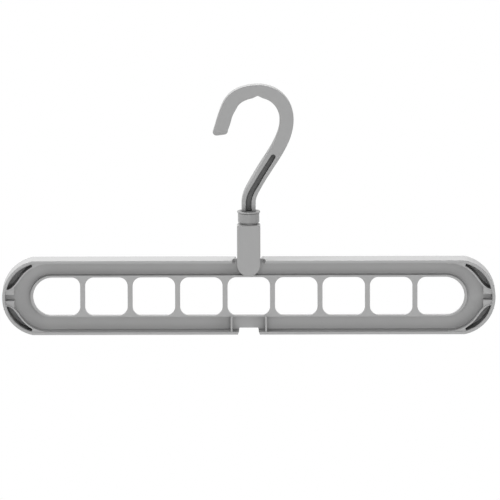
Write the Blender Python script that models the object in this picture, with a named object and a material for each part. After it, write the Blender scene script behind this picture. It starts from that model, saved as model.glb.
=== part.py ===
"""Nine-hole clothes hanger: a slotted frame that folds and swivels under a moulded hook.

Metres, +Z up, +X along the frame, -Y towards the viewer.  The origin is the point
inside the top of the hook that rests on the rail.  The hook stays on the rail, the
yoke swivels under it about a vertical axis, and the frame folds about the pin that
crosses the yoke.
"""

import math

import bmesh
import bpy
from mathutils import Matrix, Vector

# Frame, seen from the front
FRAME_LENGTH = 0.3700
FRAME_HEIGHT = 0.0564
FRAME_DEPTH = 0.0200
END_EXTRA_RADIUS = 0.0006
RIM_WALL = 0.0022
RIM_ROUND = 0.0005
WEB_THICKNESS = 0.0018

# Row of holes and the thin lattice that surrounds them
HOLE_COUNT = 9
HOLE_HEIGHT = 0.0294
ROW_RISE = 0.0004
ROW_END_MARGIN = 0.0233
END_HOLE_EXTRA = 0.0034
POST_WIDTH = 0.00375
HOLE_CORNER_RADIUS = 0.0065
RING_STRIP = 0.0013
LEDGE_WALL = 0.0010
LATTICE_SETBACK = 0.0030
LATTICE_THICKNESS = 0.0030

# Leaf pockets and end lugs
BLOCK_START_ANGLE = 8.0
BLOCK_END_ANGLE = 98.0
BLOCK_BULGE = 0.0062
BLOCK_SKEW = 0.75
POCKET_START_ANGLE = 14.0
POCKET_END_ANGLE = 75.5
POCKET_RIB = 0.0012
POCKET_LINER = 0.0003
POCKET_FLOOR = 0.0015
POCKET_BACK_SETBACK = 0.0020
INNER_SETBACK = 0.0006
LUG_REACH = 0.0092
LUG_HEIGHT = 0.0070
LUG_GAP = 0.0045
LUG_SETBACK = 0.0015

# Notch that takes the stem when the hanger is folded, and the ribs beside it
NOTCH_CLEARANCE = 0.00165
NOTCH_INTO_WEB = 0.0016
NOTCH_SLANT = 0.0014
STOP_RIB_THICKNESS = 0.0014
STOP_RIB_GAP = 0.0043

# Fold hinge
PIN_DIAMETER = 0.0030
PIN_BELOW_TOP = 0.0027
PIN_END_GAP = 0.0003
PIN_CHAMFER = 0.0003
KNUCKLE_RADIUS = 0.0034
KNUCKLE_ROOT = 0.0085
FOLD_CLEARANCE = 0.00035
SLOT_FLARE = 0.0032
SLOT_FLARE_DEPTH = 0.0175

# Yoke
YOKE_WIDTH = 0.0175
YOKE_RISE = 0.0292
YOKE_LOBE_DROP = 0.0006
YOKE_PROUD = 0.0002
YOKE_PLATE = 0.0028
YOKE_EDGE_ROUND = 0.0009
YOKE_TOP_CORNER = 0.0010
YOKE_NECK = 0.0174
CHEEK_INSET = 0.0005
CHEEK_WALL = 0.0020
CHEEK_EYE_RADIUS = 0.0040
CHEEK_BACK_STEP = 0.0001
LEDGE_HEIGHT = 0.0030
HEAD_CAVITY_DEPTH = 0.0062

# Neck bush between the yoke and the hook
BUSH_HEAD_DIAMETER = 0.0161
BUSH_HEAD_HEIGHT = 0.0069
BUSH_WAIST_DIAMETER = 0.0130
BUSH_WAIST_HEIGHT = 0.0010
BUSH_SHANK_DIAMETER = 0.0110
BUSH_EDGE = 0.0003

# Hook
HOOK_THICKNESS = 0.0085
DISC_DIAMETER = 0.0173
DISC_THICKNESS = 0.0013
DISC_EDGE = 0.0003
SPIGOT_DIAMETER = 0.0072
SNAP_LIP = 0.0011
SNAP_LAND = 0.0010
SNAP_LENGTH = 0.0050
SNAP_TIP_DIAMETER = 0.0060
SNAP_SLOT_WIDTH = 0.0016
SNAP_SLOT_LENGTH = 0.0095
STEM_WIDTH = 0.0105
STEM_STRAIGHT = 0.0066
BEND_X = 0.0099
BEND_RISE = 0.0188
BEND_HEADING = 61.5
BEND_WIDTH = 0.0104
SLANT_X = 0.01595
SLANT_RISE = 0.0288
SLANT_HEADING = 57.5
SLANT_WIDTH = 0.0106
SIDE_X = 0.0338
SIDE_RISE = 0.0694
SIDE_WIDTH = 0.0105
SHOULDER_X = 0.0260
SHOULDER_RISE = 0.0887
SHOULDER_WIDTH = 0.0102
CROWN_X = 0.0070
CROWN_RISE = 0.0961
CROWN_WIDTH = 0.0097
ARM_X = -0.01875
ARM_RISE = 0.0833
ARM_HEADING = 242.5
ARM_WIDTH = 0.0111
WRIST_X = -0.0222
WRIST_RISE = 0.0749
WRIST_HEADING = 251.5
WRIST_WIDTH = 0.0104
TIP_X = -0.02675
TIP_RISE = 0.0602
TIP_HEADING = 252.5
TIP_WIDTH = 0.0114
TIP_LEAN = 25.0
TIP_ROUND = 0.0030
HOOK_EDGE = 0.0006
STEM_BEVEL = 0.0016
SLANT_BEVEL = 0.0029
SIDE_BEVEL = 0.0012
GROOVE_TOP_WIDTH = 0.0035
GROOVE_FOOT_WIDTH = 0.0043
GROOVE_DEPTH = 0.0030
GROOVE_RISE = 0.0400
GROOVE_FOOT = 0.0003
DENT_DEPTH = 0.0014
DENT_HALF_WIDTH = 0.0032
DENT_FLAT = 0.0003

CLEARANCE = 0.0003
OVERLAP = 0.0010

# Plastics
MOULDED_GREY = 0.40
BUSH_GREY = 0.38
PIN_GREY = 0.36

# Places that follow from the sizes above
FRONT_Y = -FRAME_DEPTH / 2
LATTICE_Y = FRONT_Y + LATTICE_SETBACK
INNER_Y = FRONT_Y + INNER_SETBACK
END_RADIUS = FRAME_HEIGHT / 2 + END_EXTRA_RADIUS
END_CENTRE_X = FRAME_LENGTH / 2 - END_RADIUS
RIM_INNER_Z = FRAME_HEIGHT / 2 - RIM_WALL
ROW_HALF = FRAME_LENGTH / 2 - ROW_END_MARGIN
HOLE_PITCH = (2 * (ROW_HALF - END_HOLE_EXTRA) + POST_WIDTH) / HOLE_COUNT
RING_OUTER_Z = HOLE_HEIGHT / 2 + RING_STRIP
PIN_Z = FRAME_HEIGHT / 2 - PIN_BELOW_TOP
YOKE_HALF = YOKE_WIDTH / 2
YOKE_FRONT_Y = FRONT_Y - YOKE_PROUD
PLATE_BACK_Y = YOKE_FRONT_Y + YOKE_PLATE
CHEEK_OUTER_X = YOKE_HALF - CHEEK_INSET
CHEEK_INNER_X = CHEEK_OUTER_X - CHEEK_WALL
KNUCKLE_HALF = CHEEK_INNER_X - FOLD_CLEARANCE
SLOT_HALF = YOKE_HALF + FOLD_CLEARANCE
NECK_FOOT_Z = YOKE_RISE - YOKE_NECK
BORE_PIN_RADIUS = PIN_DIAMETER / 2 + CLEARANCE
SPIGOT_RADIUS = SPIGOT_DIAMETER / 2
SPIGOT_BORE_RADIUS = SPIGOT_RADIUS + CLEARANCE
HEAD_RADIUS = SPIGOT_RADIUS + SNAP_LIP
DISC_TOP_Z = (
    YOKE_RISE + CLEARANCE + BUSH_WAIST_HEIGHT + BUSH_HEAD_HEIGHT + CLEARANCE + DISC_THICKNESS
)
LEDGE_FOOT_Z = NECK_FOOT_Z + HEAD_CAVITY_DEPTH
LEDGE_TOP_Z = LEDGE_FOOT_Z + LEDGE_HEIGHT
HANG_RISE = CROWN_RISE - CROWN_WIDTH + DENT_DEPTH
SWIVEL_X = -CROWN_X

# Facets
ARC_STEP = math.radians(7.5)
LATHE_SIDES = 32
HOOK_STEPS = 10
SHARP_ANGLE = math.radians(35.0)
FLAT_ANGLE = math.radians(0.05)


def clear_scene():
    """Remove every object that the opened scene holds."""
    for old in list(bpy.data.objects):
        bpy.data.objects.remove(old, do_unlink=True)


def plastic(name, grey, roughness):
    """A neutral grey moulded plastic with its own name."""
    made = bpy.data.materials.new(name)
    made.use_nodes = True
    shader = made.node_tree.nodes["Principled BSDF"]
    shader.inputs["Base Color"].default_value = (grey, grey, grey, 1.0)
    shader.inputs["Roughness"].default_value = roughness
    shader.inputs["Metallic"].default_value = 0.0
    return made


def arc(centre, radius, start, end):
    """Points of an arc in the plane, ends included, angles in radians."""
    steps = max(2, math.ceil(abs(end - start) / ARC_STEP))
    angles = [start + (end - start) * i / steps for i in range(steps + 1)]
    return [(centre[0] + radius * math.cos(a), centre[1] + radius * math.sin(a)) for a in angles]


def rounded_box(low, high, radius):
    """A rectangle with four round corners, anticlockwise."""
    quarter = math.pi / 2
    corners = [
        (high[0] - radius, low[1] + radius, -quarter),
        (high[0] - radius, high[1] - radius, 0.0),
        (low[0] + radius, high[1] - radius, quarter),
        (low[0] + radius, low[1] + radius, math.pi),
    ]
    points = []
    for x, y, start in corners:
        points += arc((x, y), radius, start, start + quarter)
    return points


def stadium(half_length, radius):
    """A slot with full round ends, anticlockwise."""
    centre = half_length - radius
    right = arc((centre, 0.0), radius, -math.pi / 2, math.pi / 2)
    left = arc((-centre, 0.0), radius, math.pi / 2, 3 * math.pi / 2)
    return right + left


def on_xz(u, v, w):
    """Outline point (x, z) at depth y."""
    return (u, w, v)


def on_row(u, v, w):
    """Outline point (x, z from the row's middle) at depth y."""
    return (u, w, v + ROW_RISE)


def on_yz(u, v, w):
    """Outline point (y, z) at place x."""
    return (w, u, v)


def on_xy(u, v, w):
    """Outline point (x, y) at height z."""
    return (u, v, w)


def add_loft(mesh, sections):
    """Add one closed body through rings of points, each with as many points."""
    rings = [[mesh.verts.new(point) for point in section] for section in sections]
    for lower, upper in zip(rings, rings[1:]):
        for i in range(len(lower)):
            j = (i + 1) % len(lower)
            mesh.faces.new((lower[i], lower[j], upper[j], upper[i]))
    mesh.faces.new(list(reversed(rings[0])))
    mesh.faces.new(rings[-1])


def add_stack(mesh, layers, place):
    """Add one closed body through (level, outline) layers."""
    add_loft(mesh, [[place(u, v, level) for u, v in outline] for level, outline in layers])


def add_prism(mesh, outline, low, high, place):
    """Add one straight extrusion of an outline between two levels."""
    add_stack(mesh, [(low, outline), (high, outline)], place)


def add_box(mesh, low, high):
    """Add a box between two corners."""
    outline = [(low[0], low[1]), (high[0], low[1]), (high[0], high[1]), (low[0], high[1])]
    add_prism(mesh, outline, low[2], high[2], on_xy)


def add_turned(mesh, profile, sides=LATHE_SIDES):
    """Add a body turned about Z from a closed (radius, z) profile, which may touch the axis."""
    rings = []
    for radius, z in profile:
        if radius == 0.0:
            rings.append([mesh.verts.new((0.0, 0.0, z))])
            continue
        turns = [2 * math.pi * i / sides for i in range(sides)]
        rings.append(
            [mesh.verts.new((radius * math.cos(t), radius * math.sin(t), z)) for t in turns]
        )
    closed = profile[0][0] > 0.0
    pairs = list(zip(rings, rings[1:]))
    if closed:
        pairs.append((rings[-1], rings[0]))
    for first, second in pairs:
        for i in range(sides):
            j = (i + 1) % sides
            corners = [first[i % len(first)], second[i % len(second)]]
            corners += [second[j % len(second)], first[j % len(first)]]
            corners = list(dict.fromkeys(corners))
            if len(corners) > 2:
                mesh.faces.new(corners)


def make_object(name, mesh, parent, location=(0.0, 0.0, 0.0), finish=None):
    """Turn a bmesh into a smooth shaded object under a parent."""
    bmesh.ops.recalc_face_normals(mesh, faces=mesh.faces)
    data = bpy.data.meshes.new(name)
    mesh.to_mesh(data)
    mesh.free()
    data.shade_smooth()
    data.set_sharp_from_angle(angle=SHARP_ANGLE)
    made = bpy.data.objects.new(name, data)
    bpy.context.scene.collection.objects.link(made)
    made.parent = parent
    made.location = location
    if finish:
        data.materials.append(finish)
    return made


def apply_shape(target, name, operation, build):
    """Join or cut one helper shape, built in the target's own coordinates."""
    mesh = bmesh.new()
    build(mesh)
    helper = make_object(name, mesh, target)
    helper.hide_render = True
    helper.display_type = "WIRE"
    step = target.modifiers.new(name, "BOOLEAN")
    step.operation = operation
    step.solver = "EXACT"
    step.object = helper


def empty(name, parent, location):
    """A plain marker that carries a moving group on its joint axis."""
    made = bpy.data.objects.new(name, None)
    bpy.context.scene.collection.objects.link(made)
    made.parent = parent
    made.location = location
    made.empty_display_size = 0.01
    return made


# Frame


def rim_outline(inset):
    """The frame's outer outline, drawn in by a wall: straight sides, arc ends."""
    radius = END_RADIUS - inset
    reach = math.asin((FRAME_HEIGHT / 2 - inset) / radius)
    right = arc((END_CENTRE_X, 0.0), radius, -reach, reach)
    left = arc((-END_CENTRE_X, 0.0), radius, math.pi - reach, math.pi + reach)
    return right + left


def add_recesses(mesh):
    """Both faces sunk to the web inside the rim."""
    outline = rim_outline(RIM_WALL)
    add_prism(mesh, outline, FRONT_Y - OVERLAP, -WEB_THICKNESS / 2, on_xz)
    add_prism(mesh, outline, WEB_THICKNESS / 2, -FRONT_Y + OVERLAP, on_xz)


def add_hat(mesh):
    """The raised panel that carries the holes in front of the web."""
    half = ROW_HALF + RING_STRIP
    add_prism(mesh, stadium(half, RING_OUTER_Z), LATTICE_Y, 0.0, on_row)


def add_hat_hollow(mesh):
    """The space behind the lattice, open to the back."""
    half = ROW_HALF + RING_STRIP - LEDGE_WALL
    outline = stadium(half, RING_OUTER_Z - LEDGE_WALL)
    add_prism(mesh, outline, LATTICE_Y + LATTICE_THICKNESS, WEB_THICKNESS, on_row)


def hole_spans():
    """The (left, right) sides of each hole, the two end holes a little longer."""
    posts = [HOLE_PITCH * (i - HOLE_COUNT / 2) for i in range(1, HOLE_COUNT)]
    lefts = [-ROW_HALF] + [x + POST_WIDTH / 2 for x in posts]
    rights = [x - POST_WIDTH / 2 for x in posts] + [ROW_HALF]
    return list(zip(lefts, rights))


def hole_outline(left, right, index):
    """One hole; the first and last have a full round outer end."""
    half = HOLE_HEIGHT / 2
    inner = min(HOLE_CORNER_RADIUS, half)
    quarter = math.pi / 2
    if index == 0:
        points = arc((left + half, 0.0), half, quarter, 3 * quarter)
        points += arc((right - inner, -half + inner), inner, -quarter, 0.0)
        return points + arc((right - inner, half - inner), inner, 0.0, quarter)
    if index == HOLE_COUNT - 1:
        points = arc((right - half, 0.0), half, -quarter, quarter)
        points += arc((left + inner, half - inner), inner, quarter, math.pi)
        return points + arc((left + inner, -half + inner), inner, math.pi, 3 * quarter)
    return rounded_box((left, -half), (right, half), inner)


def add_holes(mesh):
    """The row of holes through the lattice."""
    low = LATTICE_Y - OVERLAP
    high = LATTICE_Y + LATTICE_THICKNESS + OVERLAP
    for index, (left, right) in enumerate(hole_spans()):
        add_prism(mesh, hole_outline(left, right, index), low, high, on_row)


def leaf(outer_inset, rib, angles, turn, steps=16):
    """A leaf between the rim and the curved rib of one quarter, as seen from the front."""
    inside = END_RADIUS - RIM_WALL
    outer, inner = [], []
    for i in range(steps + 1):
        angle = angles[0] + (angles[1] - angles[0]) * i / steps
        share = (angle - BLOCK_START_ANGLE) / (BLOCK_END_ANGLE - BLOCK_START_ANGLE)
        bulge = BLOCK_BULGE * math.sin(math.pi * share**BLOCK_SKEW) - rib
        outer.append((math.radians(angle), inside - outer_inset))
        inner.append((math.radians(angle), inside - bulge))
    points = []
    for angle, radius in outer + list(reversed(inner)):
        x = END_CENTRE_X + radius * math.cos(angle)
        points.append((x * turn[0], radius * math.sin(angle) * turn[1]))
    return points


def quarters():
    """The mirror factors of the four quarters of the frame."""
    return [(1, 1), (-1, 1), (-1, -1), (1, -1)]


def add_pocket_blocks(mesh):
    """The blocks between rim and web in which the leaf pockets are sunk."""
    back = -FRONT_Y - POCKET_BACK_SETBACK
    angles = (BLOCK_START_ANGLE + 0.4, BLOCK_END_ANGLE - 1.2)
    for turn in quarters():
        add_prism(mesh, leaf(-RIM_WALL / 3, 0.0, angles, turn), INNER_Y, back, on_xz)


def add_pockets(mesh):
    """The blind leaf pockets, open to the front."""
    floor = -FRONT_Y - POCKET_BACK_SETBACK - POCKET_FLOOR
    angles = (POCKET_START_ANGLE, POCKET_END_ANGLE)
    for turn in quarters():
        outline = leaf(POCKET_LINER, POCKET_RIB, angles, turn)
        add_prism(mesh, outline, FRONT_Y - OVERLAP, floor, on_xz)


def add_lugs(mesh):
    """Two small blocks at each end with a groove between them."""
    outer = FRAME_LENGTH / 2 - RIM_WALL / 2
    inner = FRAME_LENGTH / 2 - LUG_REACH
    for side, up in quarters():
        low_x, high_x = sorted((inner * side, outer * side))
        low_z, high_z = sorted((LUG_GAP / 2 * up, (LUG_GAP / 2 + LUG_HEIGHT) * up))
        add_box(mesh, (low_x, FRONT_Y + LUG_SETBACK, low_z), (high_x, 0.0, high_z))


def notch_outline():
    """The notch through the bottom rim, wider at its mouth to suit the leaning stem."""
    half = STEM_WIDTH / 2 + NOTCH_CLEARANCE
    top = -RIM_INNER_Z + NOTCH_INTO_WEB
    mouth = -FRAME_HEIGHT / 2
    run = (top - mouth + OVERLAP) / (top - mouth)
    foot = mouth - OVERLAP
    return [
        (-half - NOTCH_SLANT * run, foot),
        (half + NOTCH_SLANT * run, foot),
        (half, top),
        (-half, top),
    ]


def add_notch(mesh):
    """The notch runs through the whole depth of the rim."""
    add_prism(mesh, notch_outline(), FRONT_Y - OVERLAP, -FRONT_Y + OVERLAP, on_xz)


def add_stop_ribs(mesh):
    """Ribs across the front of the bottom channel, each side of the folded hook's disc."""
    place = DISC_DIAMETER / 2 + STOP_RIB_GAP
    top = ROW_RISE - RING_OUTER_Z + LEDGE_WALL / 3
    foot = -RIM_INNER_Z - RIM_WALL / 3
    for side in (-1, 1):
        low = place * side - STOP_RIB_THICKNESS / 2
        high = place * side + STOP_RIB_THICKNESS / 2
        add_box(mesh, (low, INNER_Y, foot), (high, 0.0, top))


def slot_half_at(y):
    """Half width of the opening in the top rim at a depth."""
    share = 1 - (y - FRONT_Y) / SLOT_FLARE_DEPTH
    return SLOT_HALF + SLOT_FLARE * max(0.0, share)


def add_top_slot(mesh):
    """The opening in the top rim for the yoke, flared to the front; the web stays between."""
    face = WEB_THICKNESS / 2
    flare_end = FRONT_Y + SLOT_FLARE_DEPTH
    for depths in ((FRONT_Y - OVERLAP, -face), (face, flare_end, -FRONT_Y + OVERLAP)):
        right = [(slot_half_at(y), y) for y in depths]
        left = [(-half, y) for half, y in reversed(right)]
        low = RIM_INNER_Z - CLEARANCE
        add_prism(mesh, right + left, low, FRAME_HEIGHT / 2 + OVERLAP, on_xy)


def knuckle_outline():
    """Side view of the knuckle: a barrel round the pin that runs down into the web."""
    root = PIN_Z - KNUCKLE_ROOT
    half = WEB_THICKNESS / 3
    reach = math.acos(KNUCKLE_RADIUS / KNUCKLE_ROOT)
    start = -math.pi / 2 + reach
    barrel = arc((0.0, PIN_Z), KNUCKLE_RADIUS, start, math.pi - start)
    return [(-half, root), (half, root)] + barrel


def add_cheek_slots(mesh):
    """Slots through web and rim for the yoke's cheeks, from just inside the knuckle's sides."""
    foot = PIN_Z - CHEEK_EYE_RADIUS - FOLD_CLEARANCE
    top = PIN_Z + KNUCKLE_RADIUS + OVERLAP
    deep = FRAME_DEPTH
    inner = KNUCKLE_HALF - CLEARANCE
    outer = CHEEK_OUTER_X + FOLD_CLEARANCE
    for side in (-1, 1):
        low, high = sorted((inner * side, outer * side))
        add_box(mesh, (low, -deep, foot), (high, deep, top))


def add_knuckle(mesh):
    """The knuckle that rises out of the web between the two slots."""
    add_prism(mesh, knuckle_outline(), -KNUCKLE_HALF, KNUCKLE_HALF, on_yz)


def add_cross_bore(mesh, z, half_length):
    """A bore along X for the fold pin."""
    outline = arc((0.0, z), BORE_PIN_RADIUS, 0.0, 2 * math.pi)[:-1]
    add_prism(mesh, outline, -half_length, half_length, on_yz)


def build_frame(fold_axis, finish):
    """The slotted frame, one moulding."""
    mesh = bmesh.new()
    add_prism(mesh, rim_outline(0.0), FRONT_Y, -FRONT_Y, on_xz)
    frame = make_object("frame", mesh, fold_axis, (0.0, 0.0, -PIN_Z), finish)
    soften = frame.modifiers.new("rim_round", "BEVEL")
    soften.width = RIM_ROUND
    soften.segments = 2
    soften.limit_method = "ANGLE"
    soften.angle_limit = math.radians(60)
    apply_shape(frame, "frame_recesses", "DIFFERENCE", add_recesses)
    apply_shape(frame, "frame_hat", "UNION", add_hat)
    apply_shape(frame, "frame_hat_hollow", "DIFFERENCE", add_hat_hollow)
    apply_shape(frame, "frame_holes", "DIFFERENCE", add_holes)
    apply_shape(frame, "frame_pocket_blocks", "UNION", add_pocket_blocks)
    apply_shape(frame, "frame_lugs", "UNION", add_lugs)
    apply_shape(frame, "frame_pockets", "DIFFERENCE", add_pockets)
    apply_shape(frame, "frame_stop_ribs", "UNION", add_stop_ribs)
    apply_shape(frame, "frame_notch", "DIFFERENCE", add_notch)
    apply_shape(frame, "frame_top_slot", "DIFFERENCE", add_top_slot)
    apply_shape(frame, "frame_cheek_slots", "DIFFERENCE", add_cheek_slots)
    apply_shape(frame, "frame_knuckle", "UNION", add_knuckle)

    def add_frame_bore(bore):
        add_cross_bore(bore, PIN_Z, KNUCKLE_HALF + OVERLAP)

    apply_shape(frame, "frame_pin_bore", "DIFFERENCE", add_frame_bore)
    return frame


# Yoke


def yoke_outline(inset):
    """Front view of the yoke about the pin: small top corners, half round foot."""
    half = YOKE_HALF - inset
    corner = YOKE_TOP_CORNER
    top = YOKE_RISE - inset
    points = arc((0.0, -YOKE_LOBE_DROP), half, math.pi, 2 * math.pi)
    points += arc((half - corner, top - corner), corner, 0.0, math.pi / 2)
    return points + arc((-half + corner, top - corner), corner, math.pi / 2, math.pi)


def add_yoke_blank(mesh):
    """The yoke's outline through its whole depth, with a rounded front edge."""
    layers = []
    for step in range(4):
        angle = math.pi / 2 * step / 3
        inset = YOKE_EDGE_ROUND * (1 - math.sin(angle))
        y = YOKE_FRONT_Y + YOKE_EDGE_ROUND * (1 - math.cos(angle))
        layers.append((y, yoke_outline(inset)))
    layers.append((YOKE_HALF, yoke_outline(0.0)))
    add_stack(mesh, layers, on_xz)


def add_behind_cheeks(mesh):
    """All that lies behind the plate and cheeks and below the neck, seen from the side."""
    eye = CHEEK_EYE_RADIUS
    back = -WEB_THICKNESS / 2 - CHEEK_BACK_STEP
    meet = math.pi - math.acos(-back / eye)
    far = YOKE_HALF + OVERLAP
    foot = -2 * YOKE_HALF
    outline = [(PLATE_BACK_Y, foot), (far, foot), (far, NECK_FOOT_Z), (back, NECK_FOOT_Z)]
    outline += arc((0.0, 0.0), eye, meet, -math.pi / 2)
    outline.append((PLATE_BACK_Y, -eye))
    add_prism(mesh, outline, -YOKE_WIDTH, YOKE_WIDTH, on_yz)


def add_between_cheeks(mesh):
    """The gap that takes the frame's knuckle."""
    low = (-CHEEK_INNER_X, PLATE_BACK_Y, -2 * YOKE_HALF)
    high = (CHEEK_INNER_X, YOKE_WIDTH, NECK_FOOT_Z)
    add_box(mesh, low, high)


def add_cheek_sides(mesh):
    """What the cheeks leave out behind the edges of the plate."""
    for side in (-1, 1):
        low, high = sorted((CHEEK_OUTER_X * side, (YOKE_HALF + OVERLAP) * side))
        low_corner = (low, PLATE_BACK_Y, -2 * YOKE_HALF)
        add_box(mesh, low_corner, (high, YOKE_WIDTH, NECK_FOOT_Z))


def add_round_back(mesh):
    """What the half round back of the neck leaves out, seen from above."""
    wide = YOKE_HALF + OVERLAP
    outline = [(wide, 0.0), (wide, YOKE_WIDTH), (-wide, YOKE_WIDTH), (-wide, 0.0)]
    outline += arc((0.0, 0.0), YOKE_HALF, math.pi, 0.0)
    add_prism(mesh, outline, -YOKE_WIDTH, YOKE_RISE + OVERLAP, on_xy)


def add_neck_bore(mesh):
    """The stepped bore: bush above, a ledge for the snap head, its cavity below."""
    bush = BUSH_SHANK_DIAMETER / 2 + CLEARANCE
    head = HEAD_RADIUS + 3 * CLEARANCE
    foot = NECK_FOOT_Z - OVERLAP
    top = YOKE_RISE + OVERLAP
    profile = [(0.0, foot), (head, foot), (head, LEDGE_FOOT_Z)]
    profile += [(SPIGOT_BORE_RADIUS, LEDGE_FOOT_Z), (SPIGOT_BORE_RADIUS, LEDGE_TOP_Z)]
    profile += [(bush, LEDGE_TOP_Z), (bush, top), (0.0, top)]
    add_turned(mesh, profile)


def build_yoke(fold_axis, finish):
    """The fork that joins the swivel neck to the frame."""
    mesh = bmesh.new()
    add_yoke_blank(mesh)
    yoke = make_object("hook_yoke", mesh, fold_axis, finish=finish)
    apply_shape(yoke, "yoke_behind_cheeks", "DIFFERENCE", add_behind_cheeks)
    apply_shape(yoke, "yoke_between_cheeks", "DIFFERENCE", add_between_cheeks)
    apply_shape(yoke, "yoke_cheek_sides", "DIFFERENCE", add_cheek_sides)
    apply_shape(yoke, "yoke_round_back", "DIFFERENCE", add_round_back)
    apply_shape(yoke, "yoke_neck_bore", "DIFFERENCE", add_neck_bore)

    def add_yoke_bore(bore):
        add_cross_bore(bore, 0.0, YOKE_HALF + OVERLAP)

    apply_shape(yoke, "yoke_pin_bore", "DIFFERENCE", add_yoke_bore)
    return yoke


# Pin, bush


def build_pin(fold_axis, finish):
    """The fold pin, chamfered at both ends, along X."""
    radius = PIN_DIAMETER / 2
    half = CHEEK_OUTER_X - PIN_END_GAP
    mesh = bmesh.new()
    add_turned(
        mesh,
        [
            (0.0, -half),
            (radius - PIN_CHAMFER, -half),
            (radius, -half + PIN_CHAMFER),
            (radius, half - PIN_CHAMFER),
            (radius - PIN_CHAMFER, half),
            (0.0, half),
        ],
    )
    bmesh.ops.transform(mesh, matrix=Matrix.Rotation(math.pi / 2, 4, "Y"), verts=mesh.verts)
    return make_object("fold_pin", mesh, fold_axis, finish=finish)


def build_bush(swivel_axis, finish):
    """The neck bush: the ring under the hook's disc, with its shank in the yoke."""
    head_top = DISC_TOP_Z - DISC_THICKNESS - CLEARANCE
    head_foot = head_top - BUSH_HEAD_HEIGHT
    waist_foot = head_foot - BUSH_WAIST_HEIGHT
    foot = LEDGE_TOP_Z + CLEARANCE
    head = BUSH_HEAD_DIAMETER / 2
    waist = BUSH_WAIST_DIAMETER / 2
    shank = BUSH_SHANK_DIAMETER / 2
    profile = [
        (SPIGOT_BORE_RADIUS, foot),
        (shank, foot),
        (shank, waist_foot),
        (waist, waist_foot),
        (waist, head_foot),
        (head - BUSH_EDGE, head_foot),
        (head, head_foot + BUSH_EDGE),
        (head, head_top - BUSH_EDGE),
        (head - BUSH_EDGE, head_top),
        (SPIGOT_BORE_RADIUS, head_top),
    ]
    mesh = bmesh.new()
    add_turned(mesh, profile)
    return make_object("neck_bush", mesh, swivel_axis, (0.0, 0.0, -DISC_TOP_Z), finish)


# Hook, in coordinates from the swivel axis and the disc's top face


def hook_knots():
    """Outer edge from disc to tip: x, rise, heading, width, inner bevel, lean of the section."""
    return [
        (STEM_WIDTH / 2, -DISC_THICKNESS / 2, 90.0, STEM_WIDTH, STEM_BEVEL, 0.0),
        (STEM_WIDTH / 2, STEM_STRAIGHT, 90.0, STEM_WIDTH, STEM_BEVEL, 0.0),
        (BEND_X, BEND_RISE, BEND_HEADING, BEND_WIDTH, SLANT_BEVEL, 0.0),
        (SLANT_X, SLANT_RISE, SLANT_HEADING, SLANT_WIDTH, SLANT_BEVEL, 0.0),
        (SIDE_X, SIDE_RISE, 90.0, SIDE_WIDTH, SIDE_BEVEL, 0.0),
        (SHOULDER_X, SHOULDER_RISE, 135.0, SHOULDER_WIDTH, HOOK_EDGE, 0.0),
        (CROWN_X, CROWN_RISE, 180.0, CROWN_WIDTH, HOOK_EDGE, 0.0),
        (ARM_X, ARM_RISE, ARM_HEADING, ARM_WIDTH, HOOK_EDGE, 0.0),
        (WRIST_X, WRIST_RISE, WRIST_HEADING, WRIST_WIDTH, HOOK_EDGE, 0.0),
        (TIP_X, TIP_RISE, TIP_HEADING, TIP_WIDTH, HOOK_EDGE, TIP_LEAN),
    ]


def heading_vector(degrees):
    """Unit vector of a heading in the XZ plane."""
    angle = math.radians(degrees)
    return Vector((math.cos(angle), math.sin(angle)))


def between_knots(first, second, share):
    """Place, section's direction, width and bevel a share of the way along one span."""
    start, end = Vector(first[:2]), Vector(second[:2])
    turn = math.radians(second[2] - first[2])
    handle = (end - start).length / (3 * math.cos(turn / 4) ** 2)
    leave = start + heading_vector(first[2]) * handle
    arrive = end - heading_vector(second[2]) * handle
    rest = 1 - share
    place = start * rest**3 + leave * (3 * rest * rest * share)
    place += arrive * (3 * rest * share * share) + end * share**3
    ahead = (leave - start) * rest**2 + (arrive - leave) * (2 * rest * share)
    ahead += (end - arrive) * share**2
    width, bevel, lean = (a * rest + b * share for a, b in zip(first[3:], second[3:]))
    ahead.rotate(Matrix.Rotation(math.radians(lean), 2))
    return place, ahead.normalized(), width, bevel


def hook_path(steps):
    """Stations (place on the outer edge, direction, width, bevel) from disc to tip."""
    knots = hook_knots()
    stations = []
    for first, second in zip(knots, knots[1:]):
        stations += [between_knots(first, second, i / steps) for i in range(steps)]
    return stations + [between_knots(knots[-2], knots[-1], 1.0)]


def rounded_tip(stations):
    """The last station carried on into a rounded end, with the shrink of each section."""
    place, ahead, width, bevel = stations[-1]
    rounded = [station + (0.0,) for station in stations]
    for step in range(1, 5):
        angle = math.pi / 2 * step / 4
        onward = place + ahead * (TIP_ROUND * math.sin(angle))
        shrink = TIP_ROUND * (1 - math.cos(angle))
        rounded.append((onward, ahead, width, bevel, shrink))
    return rounded


def hook_section(width, bevel, shrink):
    """Twelve points round the hook's section, from the outer side, as (inward, y)."""
    half = HOOK_THICKNESS / 2 - shrink / 2
    low, high = shrink, width - shrink
    edge = HOOK_EDGE
    mid = 0.3
    return [
        (low, -half + edge),
        (low + edge * mid, -half + edge * mid),
        (low + edge, -half),
        (high - bevel, -half),
        (high - bevel * mid, -half + bevel * mid),
        (high, -half + bevel),
        (high, half - bevel),
        (high - bevel * mid, half - bevel * mid),
        (high - bevel, half),
        (low + edge, half),
        (low + edge * mid, half - edge * mid),
        (low, half - edge),
    ]


def join_flats(mesh):
    """Merge faces that lie in one plane, and split those that are bent."""
    mesh.normal_update()
    edges = mesh.edges
    bmesh.ops.dissolve_limit(mesh, angle_limit=FLAT_ANGLE, verts=mesh.verts, edges=edges)
    bent = [face for face in mesh.faces if len(face.verts) == 4]
    bmesh.ops.triangulate(mesh, faces=bent)


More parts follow.
